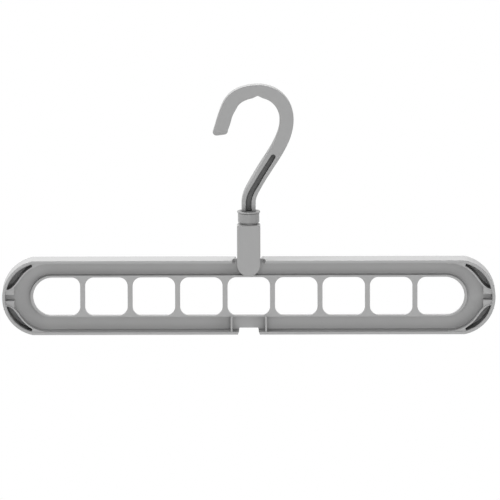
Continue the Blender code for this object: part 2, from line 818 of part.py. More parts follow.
def add_hook_bar(mesh):
    """The hook's bar, lofted along its outer edge."""
    rings = []
    for place, ahead, width, bevel, shrink in rounded_tip(hook_path(HOOK_STEPS)):
        inward = Vector((-ahead.y, ahead.x))
        section = hook_section(width, bevel, shrink)
        spots = [(place + inward * across, y) for across, y in section]
        rings.append([(spot.x, y, spot.y) for spot, y in spots])
    add_loft(mesh, rings)
    join_flats(mesh)


def add_swivel_base(mesh):
    """The disc, the spigot and its snap head, turned about the swivel axis."""
    disc = DISC_DIAMETER / 2
    head_top = LEDGE_FOOT_Z - CLEARANCE - DISC_TOP_Z
    profile = [
        (0.0, 0.0),
        (disc - DISC_EDGE, 0.0),
        (disc, -DISC_EDGE),
        (disc, -DISC_THICKNESS + DISC_EDGE),
        (disc - DISC_EDGE, -DISC_THICKNESS),
        (SPIGOT_RADIUS, -DISC_THICKNESS),
        (SPIGOT_RADIUS, head_top),
        (HEAD_RADIUS, head_top),
        (HEAD_RADIUS, head_top - SNAP_LAND),
        (SNAP_TIP_DIAMETER / 2, head_top - SNAP_LENGTH),
        (0.0, head_top - SNAP_LENGTH),
    ]
    add_turned(mesh, profile)


def groove_outline():
    """The groove up the stem, seen from the front, from its foot to its round top."""
    right, left = [], []
    for place, ahead, width, bevel in hook_path(HOOK_STEPS):
        if ahead.y <= 0 or place.y > GROOVE_RISE:
            break
        if place.y < GROOVE_FOOT:
            continue
        share = place.y / GROOVE_RISE
        half = (GROOVE_FOOT_WIDTH + (GROOVE_TOP_WIDTH - GROOVE_FOOT_WIDTH) * share) / 2
        inward = Vector((-ahead.y, ahead.x))
        centre = place + inward * ((width - bevel + STEM_BEVEL) / 2)
        right.append(centre - inward * half)
        left.append(centre + inward * half)
    top = []
    for step in range(1, 6):
        angle = math.pi * step / 6
        top.append(centre + (ahead * math.sin(angle) - inward * math.cos(angle)) * half)
    foot = Vector((0.0, GROOVE_FOOT - right[0].y))
    ends = [right[0] + foot, left[0] + foot]
    points = [ends[0]] + right + top + list(reversed(left)) + [ends[1]]
    return [tuple(point) for point in points]


def add_grooves(mesh):
    """The core grooves on both faces of the stem."""
    floor = HOOK_THICKNESS / 2 - GROOVE_DEPTH
    outside = HOOK_THICKNESS / 2 + OVERLAP
    outline = groove_outline()
    add_prism(mesh, outline, -outside, -floor, on_xz)
    add_prism(mesh, outline, floor, outside, on_xz)


def add_rail_dent(mesh):
    """The shallow dent inside the crown that keeps the hook centred on the rail."""
    top = HANG_RISE
    deep = DENT_DEPTH + OVERLAP
    wide = DENT_FLAT + (DENT_HALF_WIDTH - DENT_FLAT) * deep / DENT_DEPTH
    outline = [
        (CROWN_X - wide, top - deep),
        (CROWN_X + wide, top - deep),
        (CROWN_X + DENT_FLAT, top),
        (CROWN_X - DENT_FLAT, top),
    ]
    add_prism(mesh, outline, -HOOK_THICKNESS, HOOK_THICKNESS, on_xz)


def add_snap_slot(mesh):
    """The slot that lets the snap head close."""
    foot = LEDGE_FOOT_Z - CLEARANCE - DISC_TOP_Z - SNAP_LENGTH
    half = SNAP_SLOT_WIDTH / 2
    deep = HEAD_RADIUS + OVERLAP
    add_box(mesh, (-half, -deep, foot - OVERLAP), (half, deep, foot + SNAP_SLOT_LENGTH))


def build_hook(finish):
    """The hook with its disc and spigot, one moulding."""
    mesh = bmesh.new()
    add_hook_bar(mesh)
    hook = make_object("hook", mesh, None, (SWIVEL_X, 0.0, -HANG_RISE), finish)
    apply_shape(hook, "hook_swivel_base", "UNION", add_swivel_base)
    apply_shape(hook, "hook_grooves", "DIFFERENCE", add_grooves)
    apply_shape(hook, "hook_rail_dent", "DIFFERENCE", add_rail_dent)
    apply_shape(hook, "hook_snap_slot", "DIFFERENCE", add_snap_slot)
    return hook


def main():
    clear_scene()
    build_hook(plastic("hook_plastic", MOULDED_GREY, 0.45))
    swivel_axis = empty("swivel_axis", None, (SWIVEL_X, 0.0, -HANG_RISE))
    fold_axis = empty("fold_axis", swivel_axis, (0.0, 0.0, -DISC_TOP_Z))
    build_bush(swivel_axis, plastic("bush_plastic", BUSH_GREY, 0.42))
    build_yoke(fold_axis, plastic("yoke_plastic", MOULDED_GREY, 0.45))
    build_pin(fold_axis, plastic("pin_plastic", PIN_GREY, 0.40))
    build_frame(fold_axis, plastic("frame_plastic", MOULDED_GREY, 0.45))


main()
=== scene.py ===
"""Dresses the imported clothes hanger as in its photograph.

Metres, +Z up, +X along the frame, -Y towards the viewer.  The origin is the point
inside the hook's crown that rests on the rail.
"""

import logging
import math
from dataclasses import dataclass, field
from enum import Enum
from typing import Any, Iterable, Optional, Sequence, Union

import bmesh
import bpy
from mathutils import Matrix, Quaternion, Vector


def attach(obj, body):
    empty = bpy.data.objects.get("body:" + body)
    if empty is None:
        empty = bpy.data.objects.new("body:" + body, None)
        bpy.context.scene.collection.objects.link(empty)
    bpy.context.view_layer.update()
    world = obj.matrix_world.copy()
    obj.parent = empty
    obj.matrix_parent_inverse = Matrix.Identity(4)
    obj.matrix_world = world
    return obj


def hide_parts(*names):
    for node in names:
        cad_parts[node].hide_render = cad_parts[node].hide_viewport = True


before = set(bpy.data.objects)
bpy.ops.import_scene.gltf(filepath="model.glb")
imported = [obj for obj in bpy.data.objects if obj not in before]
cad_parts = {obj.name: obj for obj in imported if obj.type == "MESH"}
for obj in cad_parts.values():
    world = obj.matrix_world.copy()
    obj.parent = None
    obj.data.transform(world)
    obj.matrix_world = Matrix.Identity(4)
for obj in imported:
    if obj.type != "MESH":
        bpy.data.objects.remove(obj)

LOG = logging.getLogger("hanger")

Point = tuple[float, float]
Outline = list[Point]
Spot = tuple[float, float, float]
Layer = tuple[float, Outline]

# The two axes of the hanger's joints
SWIVEL_X = -0.0070
FOLD_AXIS: Spot = (SWIVEL_X, 0.0, -0.1268)

# How far a cutter reaches past the face that it cuts
OVERLAP = 0.0010

QUARTER = math.pi / 2
ARC_STEP = math.radians(4.0)
LEAST_STEPS = 3
ROUND_STEPS = 3
CORNER_STEPS = 4
LEAF_STEPS = 40
TURNED_SIDES = 96

# Faces that lean less than this from each other lie in one plane
IN_PLANE = math.radians(0.02)

# The sharpest corner that a growing outline follows, as 1 + cosine between its sides' normals
LEAST_LEAN = 0.35

# How far a cutter carries the slope of a rounded lip on past the mouth, as a share of the lip
LIP_START = 0.2

# Mirror factors of the two sides, and of the four quarters
SIDES = (-1, 1)
QUARTERS = ((1, 1), (-1, 1), (-1, -1), (1, -1))


# Outlines in a plane


def arc(centre: Point, radius: float, start: float, end: float) -> Outline:
    """Points of an arc, ends included.

    Args:
        centre: The arc's centre.
        radius: Its radius.
        start: Angle of the first point, in radians.
        end: Angle of the last point.

    Returns:
        The points in order.
    """
    steps = max(LEAST_STEPS, math.ceil(abs(end - start) / ARC_STEP))
    turns = [start + (end - start) * i / steps for i in range(steps + 1)]
    return [(centre[0] + radius * math.cos(t), centre[1] + radius * math.sin(t)) for t in turns]


def circle(centre: Point, radius: float) -> Outline:
    """A full circle, anticlockwise."""
    return arc(centre, radius, 0.0, 2 * math.pi)[:-1]


def corner(place: Point, radius: float, start: float) -> Outline:
    """A quarter of a small circle, turning anticlockwise.

    Args:
        place: Its centre.
        radius: Its radius.
        start: Angle of the first point, in radians.

    Returns:
        The points in order.
    """
    turns = [start + QUARTER * i / CORNER_STEPS for i in range(CORNER_STEPS + 1)]
    return [(place[0] + radius * math.cos(t), place[1] + radius * math.sin(t)) for t in turns]


def rounded_box(low: Point, high: Point, radius: float) -> Outline:
    """A rectangle with four round corners, anticlockwise.

    Args:
        low: Lower left corner.
        high: Upper right corner.
        radius: Radius of the corners.

    Returns:
        The outline.
    """
    left, right = low[0] + radius, high[0] - radius
    foot, top = low[1] + radius, high[1] - radius
    outline: Outline = []
    for turn, centre in enumerate(((right, foot), (right, top), (left, top), (left, foot))):
        outline += arc(centre, radius, (turn - 1) * QUARTER, turn * QUARTER)
    return outline


def stadium(half_length: float, radius: float) -> Outline:
    """A slot with full round ends, anticlockwise.

    Args:
        half_length: From the middle to the end of the slot.
        radius: Radius of its ends.

    Returns:
        The outline.
    """
    centre = half_length - radius
    right = arc((centre, 0.0), radius, -QUARTER, QUARTER)
    return right + arc((-centre, 0.0), radius, QUARTER, 3 * QUARTER)


def grown(outline: Outline, distance: float) -> Outline:
    """The outline moved outwards all round, or inwards if the distance is negative.

    Args:
        outline: A closed anticlockwise outline.
        distance: How far each side moves.

    Returns:
        As many points as the outline has.
    """
    if distance == 0.0:
        return list(outline)
    moved: Outline = []
    count = len(outline)
    for i, (u, v) in enumerate(outline):
        before, after = outline[i - 1], outline[(i + 1) % count]
        first = Vector((v - before[1], before[0] - u)).normalized()
        second = Vector((after[1] - v, u - after[0])).normalized()
        lean = 1.0 + first.dot(second)
        push = (first + second) * (distance / max(lean, LEAST_LEAN))
        moved.append((u + push.x, v + push.y))
    return moved


def quarter_round(radius: float, steps: int = ROUND_STEPS) -> list[Point]:
    """Depth below a face and inset from a side, round one convex edge.

    Args:
        radius: Radius of the edge.
        steps: Number of facets.

    Returns:
        (depth, inset) from the face down to the full side.
    """
    turns = [QUARTER * i / steps for i in range(steps + 1)]
    return [(radius * (1 - math.cos(t)), radius * (1 - math.sin(t))) for t in turns]


def solid_layers(
    outline: Outline, low: float, high: float, low_round: float = 0.0, high_round: float = 0.0
) -> list[Layer]:
    """Layers of a straight body whose end edges are rounded.

    Args:
        outline: Its full outline.
        low: Level of the first end.
        high: Level of the second end.
        low_round: Radius of the edge at the first end.
        high_round: Radius of the edge at the second end.

    Returns:
        Levels with their outlines, from low to high.
    """
    layers: list[Layer] = [(low, outline)]
    if low_round:
        layers = [(low + d, grown(outline, -i)) for d, i in quarter_round(low_round)]
    if high_round:
        tops = [(high - d, grown(outline, -i)) for d, i in quarter_round(high_round)]
        return layers + tops[::-1]
    return layers + [(high, outline)]


def cut_layers(
    outline: Outline,
    mouth: float,
    floor: float,
    lip: float = 0.0,
    fillet: float = 0.0,
    draft: float = 0.0,
) -> list[Layer]:
    """Layers of a cutter that leaves a rounded mouth and a filleted floor.

    Args:
        outline: The cut's outline between its walls.
        mouth: Level of the face that it is cut into.
        floor: Level of its floor.
        lip: Radius of the rounded edge round the mouth.
        fillet: Radius where the walls meet the floor.
        draft: How far the walls lean in from mouth to floor.

    Returns:
        Levels with their outlines, from above the mouth to the floor.
    """
    into = 1.0 if floor > mouth else -1.0
    layers: list[Layer] = []
    if lip:
        edge = quarter_round(lip)
        slope = (edge[0][1] - edge[1][1]) / (edge[1][0] - edge[0][0])
        over = lip * LIP_START
        wide = grown(outline, lip + slope * over)
        layers += [(mouth - into * OVERLAP, wide), (mouth - into * over, wide)]
        layers += [(mouth + into * d, grown(outline, i)) for d, i in edge[1:]]
    else:
        layers.append((mouth - into * OVERLAP, outline))
    if fillet:
        foot = [(floor - into * d, grown(outline, -i - draft)) for d, i in quarter_round(fillet)]
        layers += foot[::-1]
    else:
        layers.append((floor, outline))
    return layers


class Axis(Enum):
    """The direction in which an outline is drawn out."""

    ALONG = "x"
    DEPTH = "y"
    HEIGHT = "z"

    def place(self, u: float, v: float, level: float) -> Spot:
        """The point in space of an outline's point.

        Args:
            u: The outline point's first coordinate.
            v: Its second coordinate.
            level: Where its outline lies along this axis.

        Returns:
            The point.
        """
        spots = {
            Axis.ALONG: (level, u, v),
            Axis.DEPTH: (u, level, v),
            Axis.HEIGHT: (u, v, level),
        }
        return spots[self]


class Join(Enum):
    """What a step does with its body."""

    ADD = "UNION"
    CUT = "DIFFERENCE"


# Bodies and workpieces


class Body:
    """Closed bodies collected in one mesh."""

    def __init__(self) -> None:
        """Start empty."""
        self.mesh = bmesh.new()

    def loft(self, rings: Sequence[Sequence[Spot]]) -> "Body":
        """Add a closed body through rings of points.

        Args:
            rings: Rings with as many points each.

        Returns:
            The same collection.
        """
        made = [[self.mesh.verts.new(spot) for spot in ring] for ring in rings]
        for lower, upper in zip(made, made[1:]):
            for i, spot in enumerate(lower):
                j = (i + 1) % len(lower)
                self.mesh.faces.new((spot, lower[j], upper[j], upper[i]))
        self.mesh.faces.new(made[0][::-1])
        self.mesh.faces.new(made[-1])
        return self

    def stack(self, layers: Iterable[Layer], axis: Axis) -> "Body":
        """Add a closed body through outlines at their levels.

        Args:
            layers: Levels with outlines of as many points each.
            axis: The direction of the levels.

        Returns:
            The same collection.
        """
        return self.loft([[axis.place(u, v, level) for u, v in line] for level, line in layers])

    def through(self, outline: Outline, far: float, axis: Axis) -> "Body":
        """Add a straight body that reaches as far to both sides of the origin."""
        return self.stack([(-far, outline), (far, outline)], axis)

    def box(self, low: Spot, high: Spot, edge: float = 0.0) -> "Body":
        """Add a box whose front edges are rounded.

        Args:
            low: Lowest corner.
            high: Highest corner.
            edge: Radius of the edges of the side that faces the viewer.

        Returns:
            The same collection.
        """
        outline = [(low[0], low[2]), (high[0], low[2]), (high[0], high[2]), (low[0], high[2])]
        return self.stack(solid_layers(outline, low[1], high[1], edge), Axis.DEPTH)

    def turned(self, profile: Outline, sides: int = TURNED_SIDES) -> "Body":
        """Add a body turned about the vertical axis.

        Args:
            profile: Closed (radius, height) profile, which may touch the axis.
            sides: Number of facets round the axis.

        Returns:
            The same collection.
        """
        rings = [self._ring(radius, height, sides) for radius, height in profile]
        pairs = list(zip(rings, rings[1:]))
        if profile[0][0] > 0.0:
            pairs.append((rings[-1], rings[0]))
        for first, second in pairs:
            for i in range(sides):
                j = (i + 1) % sides
                spots = [first[i % len(first)], second[i % len(second)]]
                spots += [second[j % len(second)], first[j % len(first)]]
                spots = list(dict.fromkeys(spots))
                if len(spots) > 2:
                    self.mesh.faces.new(spots)
        return self

    def _ring(self, radius: float, height: float, sides: int) -> list[bmesh.types.BMVert]:
        """One ring of points round the vertical axis.

        Args:
            radius: The ring's radius.
            height: Its height.
            sides: Number of its points.

        Returns:
            The ring's points, or a single point where the radius is nothing.
        """
        if radius == 0.0:
            return [self.mesh.verts.new((0.0, 0.0, height))]
        turns = [2 * math.pi * i / sides for i in range(sides)]
        spots = [(radius * math.cos(t), radius * math.sin(t), height) for t in turns]
        return [self.mesh.verts.new(spot) for spot in spots]

    def turn(self, angle: float, about: str) -> "Body":
        """Turn all that was added so far about an axis through the origin."""
        bmesh.ops.rotate(self.mesh, matrix=Matrix.Rotation(angle, 3, about), verts=self.mesh.verts)
        return self

    def move(self, by: Spot) -> "Body":
        """Move all that was added so far."""
        bmesh.ops.translate(self.mesh, vec=Vector(by), verts=self.mesh.verts)
        return self

    def flatten(self) -> "Body":
        """Merge faces that lie in one plane, and split those that are bent.

        Returns:
            The same collection.
        """
        self.mesh.normal_update()
        verts, edges = self.mesh.verts, self.mesh.edges
        bmesh.ops.dissolve_limit(self.mesh, angle_limit=IN_PLANE, verts=verts, edges=edges)
        bent = [face for face in self.mesh.faces if len(face.verts) == 4]
        bmesh.ops.triangulate(self.mesh, faces=bent)
        return self

    def data(self, name: str) -> bpy.types.Mesh:
        """Finish the collection.

        Args:
            name: The mesh's name.

        Returns:
            The finished mesh, with its faces turned outwards.
        """
        bmesh.ops.recalc_face_normals(self.mesh, faces=self.mesh.faces)
        made = bpy.data.meshes.new(name)
        self.mesh.to_mesh(made)
        self.mesh.free()
        return made


def new_object(name: str, data: bpy.types.ID) -> bpy.types.Object:
    """Put a new object into the scene.

    Args:
        name: The object's name.
        data: Its mesh, lamp or camera.

    Returns:
        The object.
    """
    made = bpy.data.objects.new(name, data)
    bpy.context.scene.collection.objects.link(made)
    return made


@dataclass
class Workpiece:
    """A body that is cut and joined in steps, then finished as one mesh.

    Attributes:
        name: Name of the finished piece.
        blank: The body it starts from.
        sharp: Angle above which an edge stays sharp, in degrees.
        steps: What is done to the blank, in order.
    """

    name: str
    blank: Body
    sharp: float = 38.0
    steps: list[tuple[Join, Body]] = field(default_factory=list)

    def add(self, *bodies: Body) -> None:
        """Join bodies to the piece, in their order."""
        self.steps += [(Join.ADD, body) for body in bodies]

    def cut(self, *bodies: Body) -> None:
        """Cut bodies out of the piece, in their order."""
        self.steps += [(Join.CUT, body) for body in bodies]

    def finished(self, at: Spot = (0.0, 0.0, 0.0)) -> bpy.types.Object:
        """Carry out the steps.

        Args:
            at: Where the piece's own origin lies.

        Returns:
            The finished object at the origin, with its place in its mesh.
        """
        piece = new_object(self.name, self.blank.data(self.name))
        helpers = []
        for number, (how, body) in enumerate(self.steps):
            helper = new_object(f"{self.name}_step_{number}", body.data("step"))
            modifier = piece.modifiers.new(helper.name, "BOOLEAN")
            modifier.operation = how.value
            modifier.solver = "EXACT"
            modifier.object = helper
            helpers.append(helper)
        graph = bpy.context.evaluated_depsgraph_get()
        shaped = bpy.data.meshes.new_from_object(piece.evaluated_get(graph))
        piece.modifiers.clear()
        piece.data = shaped
        for helper in helpers:
            bpy.data.objects.remove(helper, do_unlink=True)
        shaped.name = self.name
        shaped.transform(Matrix.Translation(at))
        shaped.shade_smooth()
        shaped.set_sharp_from_angle(angle=math.radians(self.sharp))
        even = piece.modifiers.new("even_shading", "WEIGHTED_NORMAL")
        even.keep_sharp = True
        return piece


# Materials

Value = Union["Signal", float]


@dataclass(frozen=True)
class Signal:
    """One output of a material's nodes, with arithmetic on it."""

    graph: "Graph"
    socket: bpy.types.NodeSocket

    def __add__(self, other: Value) -> "Signal":
        """Sum."""
        return self.graph.sum("ADD", self, other)

    def __radd__(self, other: float) -> "Signal":
        """Sum with a number in front."""
        return self.graph.sum("ADD", other, self)

    def __sub__(self, other: Value) -> "Signal":
        """Difference."""
        return self.graph.sum("SUBTRACT", self, other)

    def __rsub__(self, other: float) -> "Signal":
        """Difference from a number."""
        return self.graph.sum("SUBTRACT", other, self)

    def __mul__(self, other: Value) -> "Signal":
        """Product."""
        return self.graph.sum("MULTIPLY", self, other)

    def __rmul__(self, other: float) -> "Signal":
        """Product with a number in front."""
        return self.graph.sum("MULTIPLY", other, self)


@dataclass(frozen=True)
class Marks:
    """One kind of irregular marks in the plastic.

    Attributes:
        scale: How many there are to a metre.
        detail: How many finer sizes they hold.
        rough: How strong the finer sizes are.
        tint: How much they colour it, as a share of the plastic's mottle.
        gloss: How much they change its roughness.
    """

    scale: float
    detail: float
    rough: float = 0.5
    tint: float = 0.0
    gloss: float = 0.0


CLOUDS = Marks(55.0, 4.0, 0.55, tint=1.0, gloss=0.10)
STREAKS = Marks(260.0, 3.0, tint=0.5, gloss=0.06)
FLECKS = Marks(900.0, 2.0, tint=0.4, gloss=0.05)
PORES = Marks(2600.0, 3.0, 0.6)
RIPPLES = Marks(420.0, 2.0)

# Factors on the place that draw the streaks out along X
STREAK_STRETCH: Spot = (0.3, 1.0, 1.0)


class Graph:
    """The nodes of one material or of the world."""

    def __init__(self, owner: Union[bpy.types.Material, bpy.types.World], shader: str) -> None:
        """Start from the shader and the output that the owner comes with.

        Args:
            owner: The material or the world.
            shader: The name of its shader's node.
        """
        owner.use_nodes = True
        self.owner = owner
        self.tree = owner.node_tree
        self.shader = self.tree.nodes[shader]

    @classmethod
    def material(cls, name: str) -> "Graph":
        """A new material's nodes."""
        return cls(bpy.data.materials.new(name), "Principled BSDF")

    def node(
        self,
        kind: str,
        settings: Optional[dict[str, Any]] = None,
        inputs: Optional[dict[Union[str, int], Any]] = None,
        output: Union[str, int] = 0,
    ) -> Signal:
        """Add a node of any kind.

        Args:
            kind: The node's type name.
            settings: Its own settings, which are set first.
            inputs: Values or signals for its sockets.
            output: Name or number of the output that is wanted.

        Returns:
            That output.
        """
        made = self.tree.nodes.new(kind)
        for key, value in (settings or {}).items():
            setattr(made, key, value)
        self.feed(made, inputs or {})
        return Signal(self, made.outputs[output])

    def feed(self, node: bpy.types.Node, inputs: dict[Union[str, int], Any]) -> None:
        """Set a node's sockets to values or link them to signals.

        Args:
            node: The node.
            inputs: Values or signals by the sockets' names or numbers.
        """
        for key, value in inputs.items():
            if isinstance(value, Signal):
                self.tree.links.new(value.socket, node.inputs[key])
            else:
                node.inputs[key].default_value = value

    def sum(self, operation: str, first: Value, second: Value) -> Signal:
        """A Math node on two values."""
        return self.node("ShaderNodeMath", {"operation": operation}, {0: first, 1: second})

    def limited(self, value: Signal, low: float, high: float) -> Signal:
        """A value kept between two limits."""
        return self.node("ShaderNodeClamp", None, {"Value": value, "Min": low, "Max": high})

    def seen(self) -> Signal:
        """Tell rays that show a surface from those that only light others.

        Returns:
            1 for rays from the camera, off gloss or through clear things, else 0.
        """
        rays = [
            self.node("ShaderNodeLightPath", output=f"Is {kind} Ray")
            for kind in ("Camera", "Glossy", "Transmission")
        ]
        return self.limited(rays[0] + rays[1] + rays[2], 0.0, 1.0)

    def noise(self, place: Signal, marks: Marks) -> Signal:
        """Noise from 0 to 1.

        Args:
            place: Where it is read.
            marks: Its scale and how it is made up.

        Returns:
            The noise.
        """
        inputs = {
            "Vector": place,
            "Scale": marks.scale,
            "Detail": marks.detail,
            "Roughness": marks.rough,
        }
        return self.node("ShaderNodeTexNoise", {"noise_dimensions": "3D"}, inputs)

    def stretched(self, place: Signal, by: Spot) -> Signal:
        """The place with each direction scaled by its own factor."""
        settings = {"operation": "MULTIPLY"}
        return self.node("ShaderNodeVectorMath", settings, {0: place, 1: by})

    def tinted(self, colour: tuple[float, float, float], shade: Signal) -> Signal:
        """A colour made darker or lighter.

        Args:
            colour: The colour, in linear light.
            shade: What it is multiplied by, around 1.

        Returns:
            The new colour.
        """
        grey = self.node("ShaderNodeCombineXYZ", None, {0: shade, 1: shade, 2: shade})
        settings = {"operation": "MULTIPLY"}
        return self.node("ShaderNodeVectorMath", settings, {0: colour, 1: grey})


@dataclass(frozen=True)
class MouldedPlastic:
    """Satin injection moulded plastic with flow marks, a fine grain and painted shade in its
    recesses.

    Attributes:
        name: The material's name.
        grey: Its grey, in linear light.
        roughness: Its mean roughness.
        reach: Width of the gaps in which painted shade darkens the colour.
        mottle: Strength of the soft colour variation.
        grain: Height of the fine surface grain, in metres.
        ripple: Height of the flow ripples next to the grain's pores.
        flow: Direction in which the plastic ran into the mould, as stretch factors.
        painted_shade_strength: How much painted shade darkens the colour in the deepest recesses,
            standing in for the shade that falls there.
        painted_shade_floor: The darkest that the painted shade makes the colour, as a share of its
            grey.
        smoothest: The least roughness.
        roughest: The most roughness.
        index: Its index of refraction.
        painted_shade_rays: Rays that look for the walls of a gap, for the painted shade.
    """

    name: str
    grey: float
    roughness: float
    reach: float = 0.0050
    mottle: float = 0.05
    grain: float = 0.000004
    ripple: float = 0.6
    flow: Spot = (0.25, 1.0, 1.0)
    painted_shade_strength: float = 0.25
    painted_shade_floor: float = 0.04
    smoothest: float = 0.15
    roughest: float = 0.9
    index: float = 1.49
    painted_shade_rays: int = 8

    def material(self) -> bpy.types.Material:
        """Make the finish as a Blender material.

        Returns:
            The material.
        """
        graph = Graph.material(self.name)
        place = graph.node("ShaderNodeTexCoord", output="Object")
        run = graph.stretched(place, self.flow)
        layers = ((CLOUDS, run), (STREAKS, graph.stretched(run, STREAK_STRETCH)), (FLECKS, place))
        shade: Value = 1.0
        rough: Value = self.roughness
        for marks, spot in layers:
            above = graph.noise(spot, marks) - 0.5
            shade = shade + above * (marks.tint * self.mottle)
            rough = rough + above * marks.gloss
        # Painted shade: ambient occlusion darkens the colour in gaps and recesses, where shade
        # falls.
        painted_shade_ao = graph.node(
            "ShaderNodeAmbientOcclusion",
            {"samples": self.painted_shade_rays, "only_local": True},
            {"Distance": self.reach},
            "AO",
        )
        shade = shade * graph.limited(1.0 - (1.0 - painted_shade_ao) * self.painted_shade_strength, self.painted_shade_floor, 1.0)
        skin = graph.noise(place, PORES) + graph.noise(run, RIPPLES) * self.ripple
        relief = {"Strength": 1.0, "Distance": self.grain, "Height": skin}
        inputs = {
            "Base Color": graph.tinted((self.grey, self.grey, self.grey), shade),
            "Roughness": graph.limited(rough, self.smoothest, self.roughest),
            "Normal": graph.node("ShaderNodeBump", None, relief),
            "IOR": self.index,
        }
        graph.feed(graph.shader, inputs)
        return graph.owner


@dataclass
class Piece:
    """What every dressed piece of the hanger shares.

    Attributes:
        node: The CAD node it stands for.
        body: The CAD body it rides on.
        slot: The record's material slot; not used.
        finish: Its plastic.
    """

    node: str
    body: str
    slot: str
    finish: MouldedPlastic

    def build(self) -> bpy.types.Object:
        """Make the piece's mesh."""
        raise NotImplementedError

    def dress(self, piece: bpy.types.Object) -> None:
        """Give the piece its finish and tie it to the CAD model.

        Args:
            piece: The finished object.
        """
        piece.data.materials.clear()
        piece.data.materials.append(self.finish.material())
        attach(piece, self.body)
        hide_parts(self.node)

    def make(self) -> bpy.types.Object:
        """Build, dress and report the piece.

        Returns:
            The dressed object.
        """
        piece = self.build()
        self.dress(piece)
        LOG.info("%s: %d faces, rides on %s", piece.name, len(piece.data.polygons), self.body)
        return piece


# Frame


@dataclass
class SlottedFrame(Piece):
    """The frame moulding, about its own centre: rim, web, lattice, pockets and knuckle."""

    # Rim and web
    length: float = 0.3700
    height: float = 0.0564
    depth: float = 0.0200
    end_extra: float = 0.0006
    rim: float = 0.0022
    rim_edge: float = 0.0005
    web: float = 0.0018
    channel_fillet: float = 0.0009
    channel_draft: float = 0.0006
    setback: float = 0.0006
    fine_edge: float = 0.0003
    crisp_edge: float = 0.0002

    # Lattice and its holes
    hole_count: int = 9
    hole_height: float = 0.0290
    hole_corner: float = 0.0065
    end_hole_extra: float = 0.0034
    post: float = 0.00375
    row_rise: float = 0.0006
    row_margin: float = 0.0233
    panel_rise: float = 0.0007
    ring: float = 0.0014
    ring_end: float = 0.0022
    ledge: float = 0.0007
    lattice_setback: float = 0.0030
    lattice_depth: float = 0.0030
    hollow_fillet: float = 0.0004

    # Leaf pockets, with angles in degrees round the frame's ends
    block_from: float = 13.0
    block_to: float = 105.0
    block_tail: float = 1.6
    block_bulge: float = 0.00635
    block_skew: float = 0.5
    block_least: float = 0.0004
    pocket_from: float = 14.0
    pocket_to: float = 75.5
    pocket_rib: float = 0.0012
    pocket_liner: float = 0.0003
    pocket_floor: float = 0.0015
    pocket_back: float = 0.0020

    # Lugs at the ends
    lug_reach: float = 0.0092
    lug_height: float = 0.0070
    lug_gap: float = 0.0045
    lug_setback: float = 0.0015

    # Notch for the stem, and the ribs beside it
    notch_half: float = 0.0069
    notch_into_web: float = 0.0016
    notch_slant: float = 0.0014
    rib_place: float = 0.01295
    rib_thickness: float = 0.0014

    # Opening for the yoke, and the knuckle in it
    pin_rise: float = 0.0255
    slot_half: float = 0.0091
    slot_flare: float = 0.0032
    slot_flare_depth: float = 0.0175
    slot_drop: float = 0.0018
    slot_lean: float = 0.0012
    cheek_slot: float = 0.0086
    cheek_eye: float = 0.00435
    knuckle_half: float = 0.0059
    knuckle_radius: float = 0.0034
    knuckle_root: float = 0.0085
    bore: float = 0.0018

    # Marks of the mould's ejector pins
    ejector_places: tuple[float, ...] = (-0.128, -0.082, -0.034, 0.034, 0.082, 0.128)
    ejector_radius: float = 0.0024
    ejector_depth: float = 0.00015

    @property
    def centre(self) -> Spot:
        """The frame's middle, below the fold axis."""
        return FOLD_AXIS[0], FOLD_AXIS[1], FOLD_AXIS[2] - self.pin_rise

    @property
    def front(self) -> float:
        """Level of the rim's front edge."""
        return -self.depth / 2

    @property
    def face(self) -> float:
        """Level of the front of the pockets' blocks and of the ribs."""
        return self.front + self.setback

    @property
    def lattice_face(self) -> float:
        """Level of the lattice's front."""
        return self.front + self.lattice_setback

    @property
    def pocket_rear(self) -> float:
        """Level of the closed backs of the leaf pockets."""
        return -self.front - self.pocket_back

    @property
    def end_radius(self) -> float:
        """Radius of the round ends."""
        return self.height / 2 + self.end_extra

    @property
    def end_centre(self) -> float:
        """Distance from the middle to the centre of a round end."""
        return self.length / 2 - self.end_radius

    @property
    def row_half(self) -> float:
        """Half the length of the row of holes."""
        return self.length / 2 - self.row_margin

    @property
    def ring_rise(self) -> float:
        """Half the height of the raised panel."""
        return self.hole_height / 2 + self.ring

    @property
    def panel_half(self) -> float:
        """Half the length of the raised panel."""
        return self.row_half + self.ring_end

    def rim_outline(self, inset: float) -> Outline:
        """The frame's outer outline, drawn in by a wall.

        Args:
            inset: The wall's thickness.

        Returns:
            An anticlockwise outline.
        """
        radius = self.end_radius - inset
        reach = math.asin((self.height / 2 - inset) / radius)
        right = arc((self.end_centre, 0.0), radius, -reach, reach)
        return right + arc((-self.end_centre, 0.0), radius, math.pi - reach, math.pi + reach)

    def end_hole(self, far: float, near: float, side: int) -> Outline:
        """The outline of the hole at one end of the row.

        Args:
            far: Where its full round outer end reaches to.
            near: Where its inner side lies.
            side: -1 for the left end, 1 for the right one.

        Returns:
            An anticlockwise outline.
        """
        half, bend = self.hole_height / 2, self.hole_corner
        start = -QUARTER * side
        x, rise = near + bend * side, (half - bend) * side
        return (
            arc((far - half * side, 0.0), half, start, start + 2 * QUARTER)
            + arc((x, rise), bend, -start, QUARTER - start)
            + arc((x, -rise), bend, QUARTER - start, 2 * QUARTER - start)
        )

    def hole_outlines(self) -> list[Outline]:
        """The outline of each hole, from the left.

        Returns:
            Anticlockwise outlines; the outer ends of the row are full round.
        """
        pitch = (2 * (self.row_half - self.end_hole_extra) + self.post) / self.hole_count
        posts = [pitch * (i - self.hole_count / 2) for i in range(1, self.hole_count)]
        lefts = [-self.row_half] + [x + self.post / 2 for x in posts]
        rights = [x - self.post / 2 for x in posts] + [self.row_half]
        half, bend = self.hole_height / 2, self.hole_corner
        outlines = [rounded_box((l, -half), (r, half), bend) for l, r in zip(lefts, rights)]
        outlines[0] = self.end_hole(lefts[0], rights[0], -1)
        outlines[-1] = self.end_hole(rights[-1], lefts[-1], 1)
        return outlines

